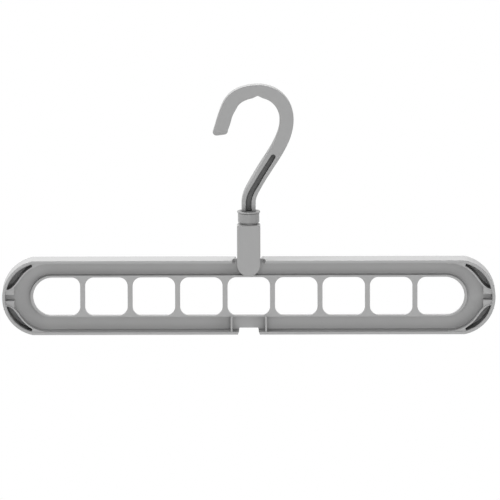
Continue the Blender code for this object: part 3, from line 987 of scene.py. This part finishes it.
    def leaf(
        self, outer_inset: float, rib: float, angles: Point, turn: tuple[int, int]
    ) -> Outline:
        """A leaf between the rim and the curved rib of one quarter.

        Args:
            outer_inset: Gap to the rim's inner side.
            rib: Thickness taken off along the curved rib.
            angles: Its ends, in degrees round the frame's end.
            turn: Mirror factors of the quarter.

        Returns:
            An anticlockwise outline.
        """
        inside = self.end_radius - self.rim
        outer, inner = [], []
        for i in range(LEAF_STEPS + 1):
            angle = angles[0] + (angles[1] - angles[0]) * i / LEAF_STEPS
            share = max(0.0, (angle - self.block_from) / (self.block_to - self.block_from))
            rise = self.block_bulge * math.sin(math.pi * share**self.block_skew)
            bulge = max(rise, self.block_least) - rib
            outer.append((math.radians(angle), inside - outer_inset))
            inner.append((math.radians(angle), inside - bulge))
        points: Outline = []
        for angle, radius in outer + inner[::-1]:
            x = self.end_centre + radius * math.cos(angle)
            points.append((x * turn[0], radius * math.sin(angle) * turn[1]))
        return points if turn[0] * turn[1] > 0 else points[::-1]

    def blank(self) -> Body:
        """The frame's outline through its whole depth.

        Returns:
            A body with rounded edges.
        """
        edge = self.rim_edge
        layers = solid_layers(self.rim_outline(0.0), self.front, -self.front, edge, edge)
        return Body().stack(layers, Axis.DEPTH)

    def recesses(self) -> Body:
        """Both faces sunk to the web inside the rim.

        Returns:
            The cutters.
        """
        body, outline = Body(), self.rim_outline(self.rim)
        rounds = (self.rim_edge, self.channel_fillet, self.channel_draft)
        for face in (self.front, -self.front):
            floor = math.copysign(self.web / 2, face)
            body.stack(cut_layers(outline, face, floor, *rounds), Axis.DEPTH)
        return body

    def panel(self) -> Body:
        """The raised panel that carries the holes.

        Returns:
            A body with a rounded front edge.
        """
        outline = stadium(self.panel_half, self.ring_rise)
        layers = solid_layers(outline, self.lattice_face, 0.0, self.fine_edge)
        return Body().stack(layers, Axis.DEPTH).move((0.0, 0.0, self.panel_rise))

    def hollow(self) -> Body:
        """The space behind the lattice, open to the back.

        Returns:
            The cutter.
        """
        outline = stadium(self.panel_half - self.ledge, self.ring_rise - self.ledge)
        floor = self.lattice_face + self.lattice_depth
        layers = cut_layers(outline, self.web / 2, floor, self.fine_edge, self.hollow_fillet)
        return Body().stack(layers, Axis.DEPTH).move((0.0, 0.0, self.panel_rise))

    def holes(self) -> Body:
        """The row of holes, with rounded edges at the front.

        Returns:
            The cutters.
        """
        body, face = Body(), self.lattice_face
        floor = face + self.lattice_depth + OVERLAP
        for outline in self.hole_outlines():
            body.stack(cut_layers(outline, face, floor, self.crisp_edge), Axis.DEPTH)
        return body.move((0.0, 0.0, self.row_rise))

    def pocket_blocks(self) -> Body:
        """The blocks in which the leaf pockets are sunk.

        Returns:
            The four blocks, which reach into the rim.
        """
        body, edges = Body(), (self.crisp_edge, self.fine_edge)
        angles = (self.block_from - self.block_tail, self.block_to)
        for turn in QUARTERS:
            outline = self.leaf(-self.rim / 3, 0.0, angles, turn)
            body.stack(solid_layers(outline, self.face, self.pocket_rear, *edges), Axis.DEPTH)
        return body

    def pockets(self) -> Body:
        """The blind leaf pockets.

        Returns:
            The cutters.
        """
        body, edges = Body(), (self.crisp_edge, self.fine_edge)
        floor = self.pocket_rear - self.pocket_floor
        angles = (self.pocket_from, self.pocket_to)
        for turn in QUARTERS:
            outline = self.leaf(self.pocket_liner, self.pocket_rib, angles, turn)
            body.stack(cut_layers(outline, self.face, floor, *edges), Axis.DEPTH)
        return body

    def lugs(self) -> Body:
        """Two small blocks at each end with a groove between them.

        Returns:
            The four blocks, which reach to the middle of the rim.
        """
        body = Body()
        outer = self.length / 2 - self.rim / 2
        inner = self.length / 2 - self.lug_reach
        foot, top = self.lug_gap / 2, self.lug_gap / 2 + self.lug_height
        for side, up in QUARTERS:
            low_x, high_x = sorted((inner * side, outer * side))
            low_z, high_z = sorted((foot * up, top * up))
            low = (low_x, self.front + self.lug_setback, low_z)
            body.box(low, (high_x, 0.0, high_z), self.fine_edge)
        return body

    def stop_ribs(self) -> Body:
        """Ribs across the front of the bottom channel, each side of the notch.

        Returns:
            The two ribs, which reach into the rim and the panel's ring.
        """
        body = Body()
        top = self.panel_rise - self.ring_rise + self.ledge / 3
        foot = -self.height / 2 + self.rim * 2 / 3
        for side in SIDES:
            low = self.rib_place * side - self.rib_thickness / 2
            high = low + self.rib_thickness
            body.box((low, self.face, foot), (high, 0.0, top), self.crisp_edge)
        return body

    def notch(self) -> Body:
        """The notch in the lower rim, wider at its mouth.

        Returns:
            The cutter.
        """
        top = -self.height / 2 + self.rim + self.notch_into_web
        foot = -self.height / 2 - OVERLAP
        run = (top - foot) / (top - foot - OVERLAP)
        half, wide = self.notch_half, self.notch_half + self.notch_slant * run
        outline = [(-wide, foot), (wide, foot), (half, top), (-half, top)]
        return Body().through(outline, -self.front + OVERLAP, Axis.DEPTH)

    def slot_edge(self, y: float, lean: float) -> Point:
        """The right edge of the opening in the top rim, at a depth."""
        share = 1 - (y - self.front) / self.slot_flare_depth
        return self.slot_half + lean + self.slot_flare * max(0.0, share), y

    def top_slot(self) -> Body:
        """The opening in the top rim for the yoke, flared to the front.

        Returns:
            The cutters before and behind the web, which stays.
        """
        body, face = Body(), self.web / 2
        bend = self.front + self.slot_flare_depth
        top, inside = self.height / 2, self.height / 2 - self.rim
        levels = (
            (inside - self.slot_drop, 0.0),
            (inside, 0.0),
            (top + OVERLAP, self.slot_lean),
        )
        for depths in ((self.front - OVERLAP, -face), (face, bend, -self.front + OVERLAP)):
            layers = []
            for level, lean in levels:
                right = [self.slot_edge(y, lean) for y in depths]
                layers.append((level, right + [(-half, y) for half, y in right[::-1]]))
            body.stack(layers, Axis.HEIGHT)
        return body

    def cheek_slots(self) -> Body:
        """Slots through web and rim for the yoke's cheeks.

        Returns:
            The cutters, which reach in as far as the knuckle's rounded edges.
        """
        body = Body()
        foot = self.pin_rise - self.cheek_eye
        top = self.pin_rise + self.knuckle_radius + OVERLAP
        inner = self.knuckle_half - self.fine_edge
        for side in SIDES:
            low, high = sorted((inner * side, self.cheek_slot * side))
            body.box((low, -self.depth, foot), (high, self.depth, top))
        return body

    def knuckle(self) -> Body:
        """The barrel round the pin, which runs down into the web.

        Returns:
            A body with rounded ends.
        """
        root, edge = self.pin_rise - self.knuckle_root, self.fine_edge
        reach = math.acos(self.knuckle_radius / self.knuckle_root)
        start = -QUARTER + reach
        barrel = arc((0.0, self.pin_rise), self.knuckle_radius, start, math.pi - start)
        outline = [(-self.web / 3, root), (self.web / 3, root)] + barrel
        layers = solid_layers(outline, -self.knuckle_half, self.knuckle_half, edge, edge)
        return Body().stack(layers, Axis.ALONG)

    def pin_bore(self) -> Body:
        """The bore through the knuckle."""
        outline = circle((0.0, self.pin_rise), self.bore)
        return Body().through(outline, self.knuckle_half + OVERLAP, Axis.ALONG)

    def ejector_marks(self) -> Body:
        """Shallow round marks of the ejector pins, in the back of the channels.

        Returns:
            The cutters.
        """
        body = Body()
        lane = (self.ring_rise + self.height / 2 - self.rim) / 2
        mouth = self.web / 2
        for x in self.ejector_places:
            for z in (-lane, lane):
                ring = circle((x, z), self.ejector_radius)
                layers = [(mouth + OVERLAP / 2, ring), (mouth - self.ejector_depth, ring)]
                body.stack(layers, Axis.DEPTH)
        return body

    def build(self) -> bpy.types.Object:
        """The frame as one moulding.

        Returns:
            The finished frame.
        """
        work = Workpiece("slotted_frame", self.blank())
        work.cut(self.recesses())
        work.add(self.panel())
        work.cut(self.hollow(), self.holes())
        work.add(self.pocket_blocks(), self.lugs())
        work.cut(self.pockets())
        work.add(self.stop_ribs())
        work.cut(self.notch(), self.top_slot(), self.cheek_slots())
        work.add(self.knuckle())
        work.cut(self.pin_bore(), self.ejector_marks())
        return work.finished(self.centre)


# Yoke, bush and pin


@dataclass
class ForkYoke(Piece):
    """The yoke between swivel neck and frame, about the fold axis."""

    # Plate
    width: float = 0.0175
    rise: float = 0.0292
    lobe_drop: float = 0.0006
    front: float = -0.0102
    plate: float = 0.0028
    edge: float = 0.0009
    edge_steps: int = 6
    top_corner: float = 0.0010

    # Cheeks
    cheek_out: float = 0.00825
    cheek: float = 0.0020
    cheek_back: float = -0.0010
    eye: float = 0.0040
    pin_bore: float = 0.0018

    # Neck
    neck: float = 0.0174
    bush_bore: float = 0.0058
    bore_lip: float = 0.0004
    spigot_bore: float = 0.0039
    head_bore: float = 0.0056
    ledge_foot: float = 0.0180
    ledge_top: float = 0.0210

    @property
    def half(self) -> float:
        """Half the yoke's width."""
        return self.width / 2

    @property
    def plate_back(self) -> float:
        """Level of the plate's back."""
        return self.front + self.plate

    @property
    def neck_foot(self) -> float:
        """Level at which the neck block starts."""
        return self.rise - self.neck

    def outline(self) -> Outline:
        """The front view: small top corners and a half round foot.

        Returns:
            An anticlockwise outline.
        """
        bend = self.top_corner
        foot = arc((0.0, -self.lobe_drop), self.half, math.pi, 2 * math.pi)
        right = arc((self.half - bend, self.rise - bend), bend, 0.0, QUARTER)
        return foot + right + arc((bend - self.half, self.rise - bend), bend, QUARTER, math.pi)

    def blank(self) -> Body:
        """The outline through the whole depth.

        Returns:
            A body with a well rounded front edge.
        """
        full, rounds = self.outline(), quarter_round(self.edge, self.edge_steps)
        edge = [(self.front + d, grown(full, -i)) for d, i in rounds]
        return Body().stack(edge + [(self.half, full)], Axis.DEPTH)

    def behind_cheeks(self) -> Body:
        """All that lies behind the plate and cheeks, below the neck.

        Returns:
            The cutter.
        """
        back, eye = self.cheek_back, self.eye
        meet = math.pi - math.acos(-back / eye)
        far, foot = self.half + OVERLAP, -self.width
        outline = [(self.plate_back, foot), (far, foot)]
        outline += [(far, self.neck_foot), (back, self.neck_foot)]
        outline += arc((0.0, 0.0), eye, meet, -QUARTER)
        outline.append((self.plate_back, -eye))
        return Body().through(outline, self.width, Axis.ALONG)

    def between_cheeks(self) -> Body:
        """The gap that takes the frame's knuckle.

        Returns:
            The cutter.
        """
        inner = self.cheek_out - self.cheek
        low = (-inner, self.plate_back, -self.width)
        return Body().box(low, (inner, self.width, self.neck_foot))

    def cheek_sides(self) -> Body:
        """What the cheeks leave out behind the edges of the plate.

        Returns:
            The cutters.
        """
        body = Body()
        for side in SIDES:
            low, high = sorted((self.cheek_out * side, (self.half + OVERLAP) * side))
            foot = (low, self.plate_back, -self.width)
            body.box(foot, (high, self.width, self.neck_foot))
        return body

    def round_back(self) -> Body:
        """What the half round back of the neck leaves out.

        Returns:
            The cutter.
        """
        wide = self.half + OVERLAP
        outline = [(wide, 0.0), (wide, self.width), (-wide, self.width), (-wide, 0.0)]
        outline += arc((0.0, 0.0), self.half, math.pi, 0.0)
        top = self.rise + OVERLAP
        return Body().stack([(-self.width, outline), (top, outline)], Axis.HEIGHT)

    def neck_bore(self) -> Body:
        """The stepped bore: bush above, a ledge, the snap head's cavity below.

        Returns:
            The cutter.
        """
        foot, top = self.neck_foot - OVERLAP, self.rise + OVERLAP
        profile = [
            (0.0, foot),
            (self.head_bore, foot),
            (self.head_bore, self.ledge_foot),
            (self.spigot_bore, self.ledge_foot),
            (self.spigot_bore, self.ledge_top),
            (self.bush_bore, self.ledge_top),
            (self.bush_bore, self.rise - self.bore_lip),
            (self.bush_bore + self.bore_lip + OVERLAP, top),
            (0.0, top),
        ]
        return Body().turned(profile)

    def cross_bore(self) -> Body:
        """The bore for the pin through both cheeks."""
        return Body().through(circle((0.0, 0.0), self.pin_bore), self.width, Axis.ALONG)

    def build(self) -> bpy.types.Object:
        """The yoke as one moulding.

        Returns:
            The finished yoke.
        """
        work = Workpiece("fork_yoke", self.blank())
        work.cut(self.behind_cheeks(), self.between_cheeks(), self.cheek_sides())
        work.cut(self.round_back(), self.neck_bore(), self.cross_bore())
        return work.finished(FOLD_AXIS)


@dataclass
class NeckBush(Piece):
    """The ring between disc and yoke, with its shank in the yoke, about the swivel axis."""

    bore: float = 0.0039
    head: float = 0.00805
    waist: float = 0.0065
    shank: float = 0.0055
    head_top: float = -0.0894
    head_foot: float = -0.0963
    waist_foot: float = -0.0973
    foot: float = -0.1055
    edge: float = 0.0004

    def build(self) -> bpy.types.Object:
        """The bush, turned.

        Returns:
            The finished bush.
        """
        e = self.edge
        profile = [(self.bore, self.foot), (self.shank - e, self.foot)]
        profile += [(self.shank, self.foot + e), (self.shank, self.waist_foot)]
        profile += [(self.waist, self.waist_foot), (self.waist, self.head_foot)]
        profile += corner((self.head - e, self.head_foot + e), e, -QUARTER)
        profile += corner((self.head - e, self.head_top - e), e, 0.0)
        profile += [(self.bore + e, self.head_top), (self.bore, self.head_top - e)]
        return Workpiece("swivel_bush", Body().turned(profile)).finished((SWIVEL_X, 0.0, 0.0))


@dataclass
class FoldPin(Piece):
    """The pin on which the frame folds."""

    radius: float = 0.0015
    half: float = 0.00795
    edge: float = 0.0003
    sides: int = 48

    def build(self) -> bpy.types.Object:
        """The pin, turned and laid across the yoke.

        Returns:
            The finished pin.
        """
        e, r, h = self.edge, self.radius, self.half
        profile = [(0.0, -h)] + corner((r - e, e - h), e, -QUARTER)
        profile += corner((r - e, h - e), e, 0.0) + [(0.0, h)]
        body = Body().turned(profile, self.sides).turn(QUARTER, "Y")
        return Workpiece("pivot_pin", body).finished(FOLD_AXIS)


# Hook


@dataclass(frozen=True)
class Knot:
    """A point on the hook's outer edge, from the swivel axis and the disc's top.

    Attributes:
        x: Distance from the swivel axis.
        rise: Height above the disc.
        heading: Direction of the edge there, in degrees.
        width: Width of the bar.
        bevel: Size of the round along its inner edge.
        lean: How far the section turns from the edge's own direction, in degrees.
    """

    x: float
    rise: float
    heading: float
    width: float
    bevel: float = 0.0006
    lean: float = 0.0

    @property
    def spot(self) -> Vector:
        """The knot's place."""
        return Vector((self.x, self.rise))

    @property
    def ahead(self) -> Vector:
        """Unit vector of the heading."""
        angle = math.radians(self.heading)
        return Vector((math.cos(angle), math.sin(angle)))


@dataclass(frozen=True)
class Station:
    """One section's place along the hook.

    Attributes:
        spot: Its place on the outer edge.
        ahead: Unit vector along the bar.
        width: Width of the bar.
        bevel: Size of the round along its inner edge.
        shrink: How far the section has drawn in towards the rounded tip.
    """

    spot: Vector
    ahead: Vector
    width: float
    bevel: float
    shrink: float = 0.0

    @property
    def inward(self) -> Vector:
        """Unit vector from the outer edge to the inner one."""
        return Vector((-self.ahead.y, self.ahead.x))


def hook_knots() -> list[Knot]:
    """The hook's outer edge.

    Returns:
        Its knots, from the disc to the tip.
    """
    return [
        Knot(0.00525, -0.00065, 90.0, 0.0105, 0.0016),
        Knot(0.00525, 0.0066, 90.0, 0.0105, 0.0016),
        Knot(0.0099, 0.0188, 61.5, 0.0104, 0.0029),
        Knot(0.01595, 0.0288, 57.5, 0.0106, 0.0029),
        Knot(0.0338, 0.0694, 90.0, 0.0105, 0.0012),
        Knot(0.0260, 0.0887, 135.0, 0.0102),
        Knot(0.0070, 0.0961, 180.0, 0.0097),
        Knot(-0.01875, 0.0833, 242.5, 0.0111),
        Knot(-0.0222, 0.0749, 251.5, 0.0104),
        Knot(-0.02675, 0.0602, 252.5, 0.0114, lean=25.0),
    ]


@dataclass
class RailHook(Piece):
    """The hook with its disc, spigot and snap head."""

    # Bar
    origin: Spot = (SWIVEL_X, 0.0, -0.0878)
    thickness: float = 0.0085
    knots: list[Knot] = field(default_factory=hook_knots)
    bar_steps: int = 18
    edge: float = 0.0006
    seam: float = 0.00005
    seam_half: float = 0.00015
    tip_round: float = 0.0030
    tip_steps: int = 7
    dent: float = 0.0014
    dent_half: float = 0.0032
    dent_flat: float = 0.0003

    # Disc, spigot and snap head
    disc: float = 0.00865
    disc_thickness: float = 0.0013
    disc_edge: float = 0.0004
    spigot: float = 0.0036
    head: float = 0.0047
    head_top: float = -0.0213
    head_land: float = 0.0010
    head_length: float = 0.0050
    head_tip: float = 0.0030
    snap_slot: float = 0.0016
    snap_slot_length: float = 0.0095

    # Core grooves in the stem
    groove_top: float = 0.0035
    groove_foot: float = 0.0043
    groove_depth: float = 0.0036
    groove_rise: float = 0.0400
    groove_start: float = 0.0003
    groove_lip: float = 0.0003
    groove_fillet: float = 0.0004
    groove_steps: int = 15
    groove_end_steps: int = 12

    @property
    def head_foot(self) -> float:
        """Level of the snap head's foot."""
        return self.head_top - self.head_length

    def between(self, first: Knot, second: Knot, share: float) -> Station:
        """A station on the smooth span between two knots.

        Args:
            first: The knot before.
            second: The knot after.
            share: How far along, from 0 to 1.

        Returns:
            The station.
        """
        turn = math.radians(second.heading - first.heading)
        handle = (second.spot - first.spot).length / (3 * math.cos(turn / 4) ** 2)
        leave = first.spot + first.ahead * handle
        arrive = second.spot - second.ahead * handle
        rest = 1 - share
        spot = first.spot * rest**3 + leave * (3 * rest * rest * share)
        spot += arrive * (3 * rest * share * share) + second.spot * share**3
        ahead = (leave - first.spot) * rest**2 + (arrive - leave) * (2 * rest * share)
        ahead += (second.spot - arrive) * share**2
        width = first.width * rest + second.width * share
        bevel = first.bevel * rest + second.bevel * share
        lean = first.lean * rest + second.lean * share
        ahead.rotate(Matrix.Rotation(math.radians(lean), 2))
        return Station(spot, ahead.normalized(), width, bevel)

    def stations(self, steps: int) -> list[Station]:
        """Stations from the disc to the tip.

        Args:
            steps: How many to a span.

        Returns:
            The stations in order.
        """
        found = []
        for first, second in zip(self.knots, self.knots[1:]):
            found += [self.between(first, second, i / steps) for i in range(steps)]
        return found + [self.between(self.knots[-2], self.knots[-1], 1.0)]

    def rounded_tip(self, stations: list[Station]) -> list[Station]:
        """Carry the stations on into the rounded tip.

        Args:
            stations: The stations up to the last knot.

        Returns:
            These and the tip's.
        """
        last, tip = stations[-1], []
        for step in range(1, self.tip_steps + 1):
            angle = QUARTER * step / self.tip_steps
            onward = last.spot + last.ahead * (self.tip_round * math.sin(angle))
            shrink = self.tip_round * (1 - math.cos(angle))
            tip.append(Station(onward, last.ahead, last.width, last.bevel, shrink))
        return stations + tip

    def section(self, station: Station) -> Outline:
        """The bar's section as (inward, depth) points.

        Args:
            station: Where along the hook.

        Returns:
            A closed outline, with the mould's seam as a fine ridge on both sides.
        """
        half = self.thickness / 2 - station.shrink / 2
        low, high = station.shrink, station.width - station.shrink
        e, b, s = self.edge, station.bevel, self.seam_half
        points = corner((low + e, -half + e), e, math.pi)
        points += corner((high - b, -half + b), b, -QUARTER)
        points += [(high, -s), (high + self.seam, 0.0), (high, s)]
        points += corner((high - b, half - b), b, 0.0)
        points += corner((low + e, half - e), e, QUARTER)
        return points + [(low, s), (low - self.seam, 0.0), (low, -s)]

    def bar(self) -> Body:
        """The bar, lofted along its outer edge.

        Returns:
            The body.
        """
        rings = []
        for station in self.rounded_tip(self.stations(self.bar_steps)):
            spots = [(station.spot + station.inward * u, y) for u, y in self.section(station)]
            rings.append([(spot.x, y, spot.y) for spot, y in spots])
        return Body().loft(rings).flatten()

    def swivel_base(self) -> Body:
        """The disc, the spigot and the snap head.

        Returns:
            The body.
        """
        e, r, t = self.disc_edge, self.disc, self.disc_thickness
        top, foot = self.head_top, self.head_foot
        profile = [(0.0, 0.0)] + corner((r - e, -e), e, 0.0)[::-1]
        profile += corner((r - e, e - t), e, -QUARTER)[::-1]
        profile += [(self.spigot, -t), (self.spigot, top), (self.head, top)]
        profile += [(self.head, top - self.head_land), (self.head_tip, foot), (0.0, foot)]
        return Body().turned(profile)

    def groove_outline(self) -> Outline:
        """The groove from its foot at the disc to its round top.

        Returns:
            An anticlockwise outline.
        """
        right, left = [], []
        last = None
        for station in self.stations(self.groove_steps):
            if station.ahead.y <= 0 or station.spot.y > self.groove_rise:
                break
            if station.spot.y < self.groove_start:
                continue
            share = station.spot.y / self.groove_rise
            half = (self.groove_foot + (self.groove_top - self.groove_foot) * share) / 2
            across = station.width - station.bevel + self.knots[0].bevel
            centre = station.spot + station.inward * (across / 2)
            right.append(centre - station.inward * half)
            left.append(centre + station.inward * half)
            last = (centre, station, half)
        centre, station, half = last
        top = []
        for step in range(1, self.groove_end_steps):
            angle = math.pi * step / self.groove_end_steps
            reach = station.ahead * math.sin(angle) - station.inward * math.cos(angle)
            top.append(centre + reach * half)
        drop = Vector((0.0, self.groove_start - right[0].y))
        points = [right[0] + drop] + right + top + left[::-1] + [left[0] + drop]
        return [(point.x, point.y) for point in points]

    def grooves(self) -> Body:
        """The core grooves on both faces of the stem.

        Returns:
            The cutters.
        """
        body, outline = Body(), self.groove_outline()
        edges = (self.groove_lip, self.groove_fillet)
        for side in SIDES:
            face = self.thickness / 2 * side
            floor = face - self.groove_depth * side
            body.stack(cut_layers(outline, face, floor, *edges), Axis.DEPTH)
        return body

    def rail_dent(self) -> Body:
        """The shallow dent inside the crown that keeps the hook centred on the rail.

        Returns:
            The cutter.
        """
        top, centre = -self.origin[2], -self.origin[0]
        deep = self.dent + OVERLAP
        wide = self.dent_flat + (self.dent_half - self.dent_flat) * deep / self.dent
        outline = [(centre - wide, top - deep), (centre + wide, top - deep)]
        outline += [(centre + self.dent_flat, top), (centre - self.dent_flat, top)]
        return Body().through(outline, self.thickness, Axis.DEPTH)

    def head_slot(self) -> Body:
        """The slot that lets the snap head close.

        Returns:
            The cutter.
        """
        half, deep = self.snap_slot / 2, self.head + OVERLAP
        foot, top = self.head_foot - OVERLAP, self.head_foot + self.snap_slot_length
        return Body().box((-half, -deep, foot), (half, deep, top))

    def build(self) -> bpy.types.Object:
        """The hook as one moulding.

        Returns:
            The finished hook.
        """
        work = Workpiece("rail_hook", self.bar())
        work.add(self.swivel_base())
        work.cut(self.grooves(), self.rail_dent(), self.head_slot())
        return work.finished(self.origin)


# Studio


@dataclass(frozen=True)
class SoftBox:
    """A soft lamp that faces the hanger.

    Attributes:
        name: The lamp's name.
        place: Where it stands.
        size: Its width and height.
        power: Its power, in watts.
    """

    name: str
    place: Spot
    size: Point
    power: float


@dataclass
class Studio:
    """The white studio round the hanger, and the camera at the photograph's place.

    Attributes:
        aim: The point in the middle of the picture.
        elevation: Height of the view, in degrees.
        distance: From the camera to the aim.
        picture: Width of the picture at the aim.
        roll: How far the camera is turned about its own axis, in radians.
        sensor: Width of the camera's sensor, in millimetres.
        clip: How far the camera sees.
        floor_level: Height of the floor.
        floor_half: Half the floor's width.
        floor_grey: Grey of the floor where it lights the hanger, in linear light.
        floor_roughness: Roughness of the floor.
        floor_glow: How white the floor shows at its middle, from 0 to 1.
        floor_clear: Distance at which the floor has faded into the white surround.
        surround: Strength of the even light from all round.
        lamps: The soft boxes.
    """

    aim: Spot = (-0.00603, 0.0, -0.1177)
    elevation: float = 10.0
    distance: float = 10.0
    picture: float = 0.375
    roll: float = -0.0022
    sensor: float = 36.0
    clip: float = 50.0
    floor_level: float = -0.62
    floor_half: float = 3.0
    floor_grey: float = 0.86
    floor_roughness: float = 0.9
    floor_glow: float = 0.6
    floor_clear: float = 0.9
    surround: float = 0.26
    lamps: tuple[SoftBox, ...] = (
        SoftBox("top_box", (0.0, 0.70, 0.96), (1.6, 0.5), 22.0),
        SoftBox("front_box", (0.0, -2.15, 0.05), (1.5, 0.6), 12.5),
        SoftBox("left_box", (-1.4, -0.15, 0.75), (0.6, 0.6), 15.0),
        SoftBox("right_box", (1.6, -1.1, 0.05), (0.9, 0.6), 6.0),
    )

    def camera(self) -> None:
        """A long lens slightly above the hanger."""
        data = bpy.data.cameras.new("studio_camera")
        data.sensor_width = self.sensor
        data.lens = self.sensor * self.distance / self.picture
        data.clip_end = self.clip
        made = new_object("studio_camera", data)
        rise = math.radians(self.elevation)
        back = Vector((0.0, -math.cos(rise), math.sin(rise)))
        made.location = Vector(self.aim) + back * self.distance
        level = (-back).to_track_quat("-Z", "Y")
        made.rotation_euler = (level @ Quaternion((0.0, 0.0, 1.0), self.roll)).to_euler()
        bpy.context.scene.camera = made

    def lamp(self, box: SoftBox) -> None:
        """Set up a soft box.

        Args:
            box: The lamp's place, size and power.
        """
        data = bpy.data.lights.new(box.name, "AREA")
        data.shape = "RECTANGLE"
        data.size, data.size_y = box.size
        data.energy = box.power
        made = new_object(box.name, data)
        made.location = box.place
        away = Vector(box.place) - Vector(self.aim)
        made.rotation_euler = away.to_track_quat("Z", "Y").to_euler()

    def world(self) -> None:
        """An even surround that the camera and gloss see as white."""
        world = bpy.data.worlds.new("studio")
        bpy.context.scene.world = world
        graph = Graph(world, "Background")
        inputs = {"Value": graph.seen(), "To Min": self.surround, "To Max": 1.0}
        level = graph.node("ShaderNodeMapRange", None, inputs)
        graph.feed(graph.shader, {"Color": (1.0, 1.0, 1.0, 1.0), "Strength": level})

    def floor_finish(self) -> bpy.types.Material:
        """White that fades into the surround where the camera and gloss see it.

        Returns:
            The floor's material.
        """
        graph = Graph.material("white_floor")
        colour = (self.floor_grey, self.floor_grey, self.floor_grey, 1.0)
        graph.feed(graph.shader, {"Base Color": colour, "Roughness": self.floor_roughness})
        place = graph.node("ShaderNodeTexCoord", output="Object")
        away = graph.node("ShaderNodeVectorMath", {"operation": "LENGTH"}, {0: place}, "Value")
        fade = graph.limited(away * (1.0 / self.floor_clear), 0.0, 1.0)
        glow = graph.node("ShaderNodeEmission", None, {"Strength": 1.0})
        share = graph.seen() * (self.floor_glow + fade * (1.0 - self.floor_glow))
        matt = Signal(graph, graph.shader.outputs[0])
        mixed = graph.node("ShaderNodeMixShader", None, {0: share, 1: matt, 2: glow})
        graph.feed(graph.tree.nodes["Material Output"], {"Surface": mixed})
        return graph.owner

    def floor(self) -> None:
        """A wide white floor far below the hanger."""
        body, half = Body(), self.floor_half
        spots = [(-half, -half), (half, -half), (half, half), (-half, half)]
        body.mesh.faces.new([body.mesh.verts.new((x, y, 0.0)) for x, y in spots])
        made = new_object("studio_floor", body.data("studio_floor"))
        made.location.z = self.floor_level
        made.data.materials.append(self.floor_finish())

    def build(self) -> None:
        """Camera, surround, floor and lamps."""
        self.camera()
        self.world()
        self.floor()
        for box in self.lamps:
            self.lamp(box)


def main() -> None:
    """Build and dress the hanger, piece by piece."""
    logging.basicConfig(level=logging.INFO, format="%(name)s %(message)s")
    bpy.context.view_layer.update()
    upright = (1.0, 1.0, 0.25)
    # The hook's grooves get strong painted shade, the frame's recesses only a little.
    hook_grey = MouldedPlastic("hook_grey", 0.35, 0.42, reach=0.006, flow=upright, painted_shade_strength=1.6)
    bush_grey = MouldedPlastic("bush_grey", 0.31, 0.38)
    yoke_grey = MouldedPlastic("yoke_grey", 0.36, 0.42, flow=(1.0, 1.0, 0.4))
    pin_grey = MouldedPlastic("pin_grey", 0.36, 0.35)
    satin_grey = MouldedPlastic("satin_grey", 0.39, 0.42, painted_shade_strength=0.22)
    pieces: list[Piece] = [
        RailHook("hook", "hook", "hook_plastic", hook_grey),
        NeckBush("neck_bush", "yoke", "bush_plastic", bush_grey),
        ForkYoke("hook_yoke", "yoke", "yoke_plastic", yoke_grey),
        FoldPin("fold_pin", "yoke", "pin_plastic", pin_grey),
        SlottedFrame("frame", "frame", "frame_plastic", satin_grey),
    ]
    for piece in pieces:
        piece.make()
    Studio().build()
    bpy.context.scene.view_settings.view_transform = "Standard"


if __name__ == "__main__":
    main()
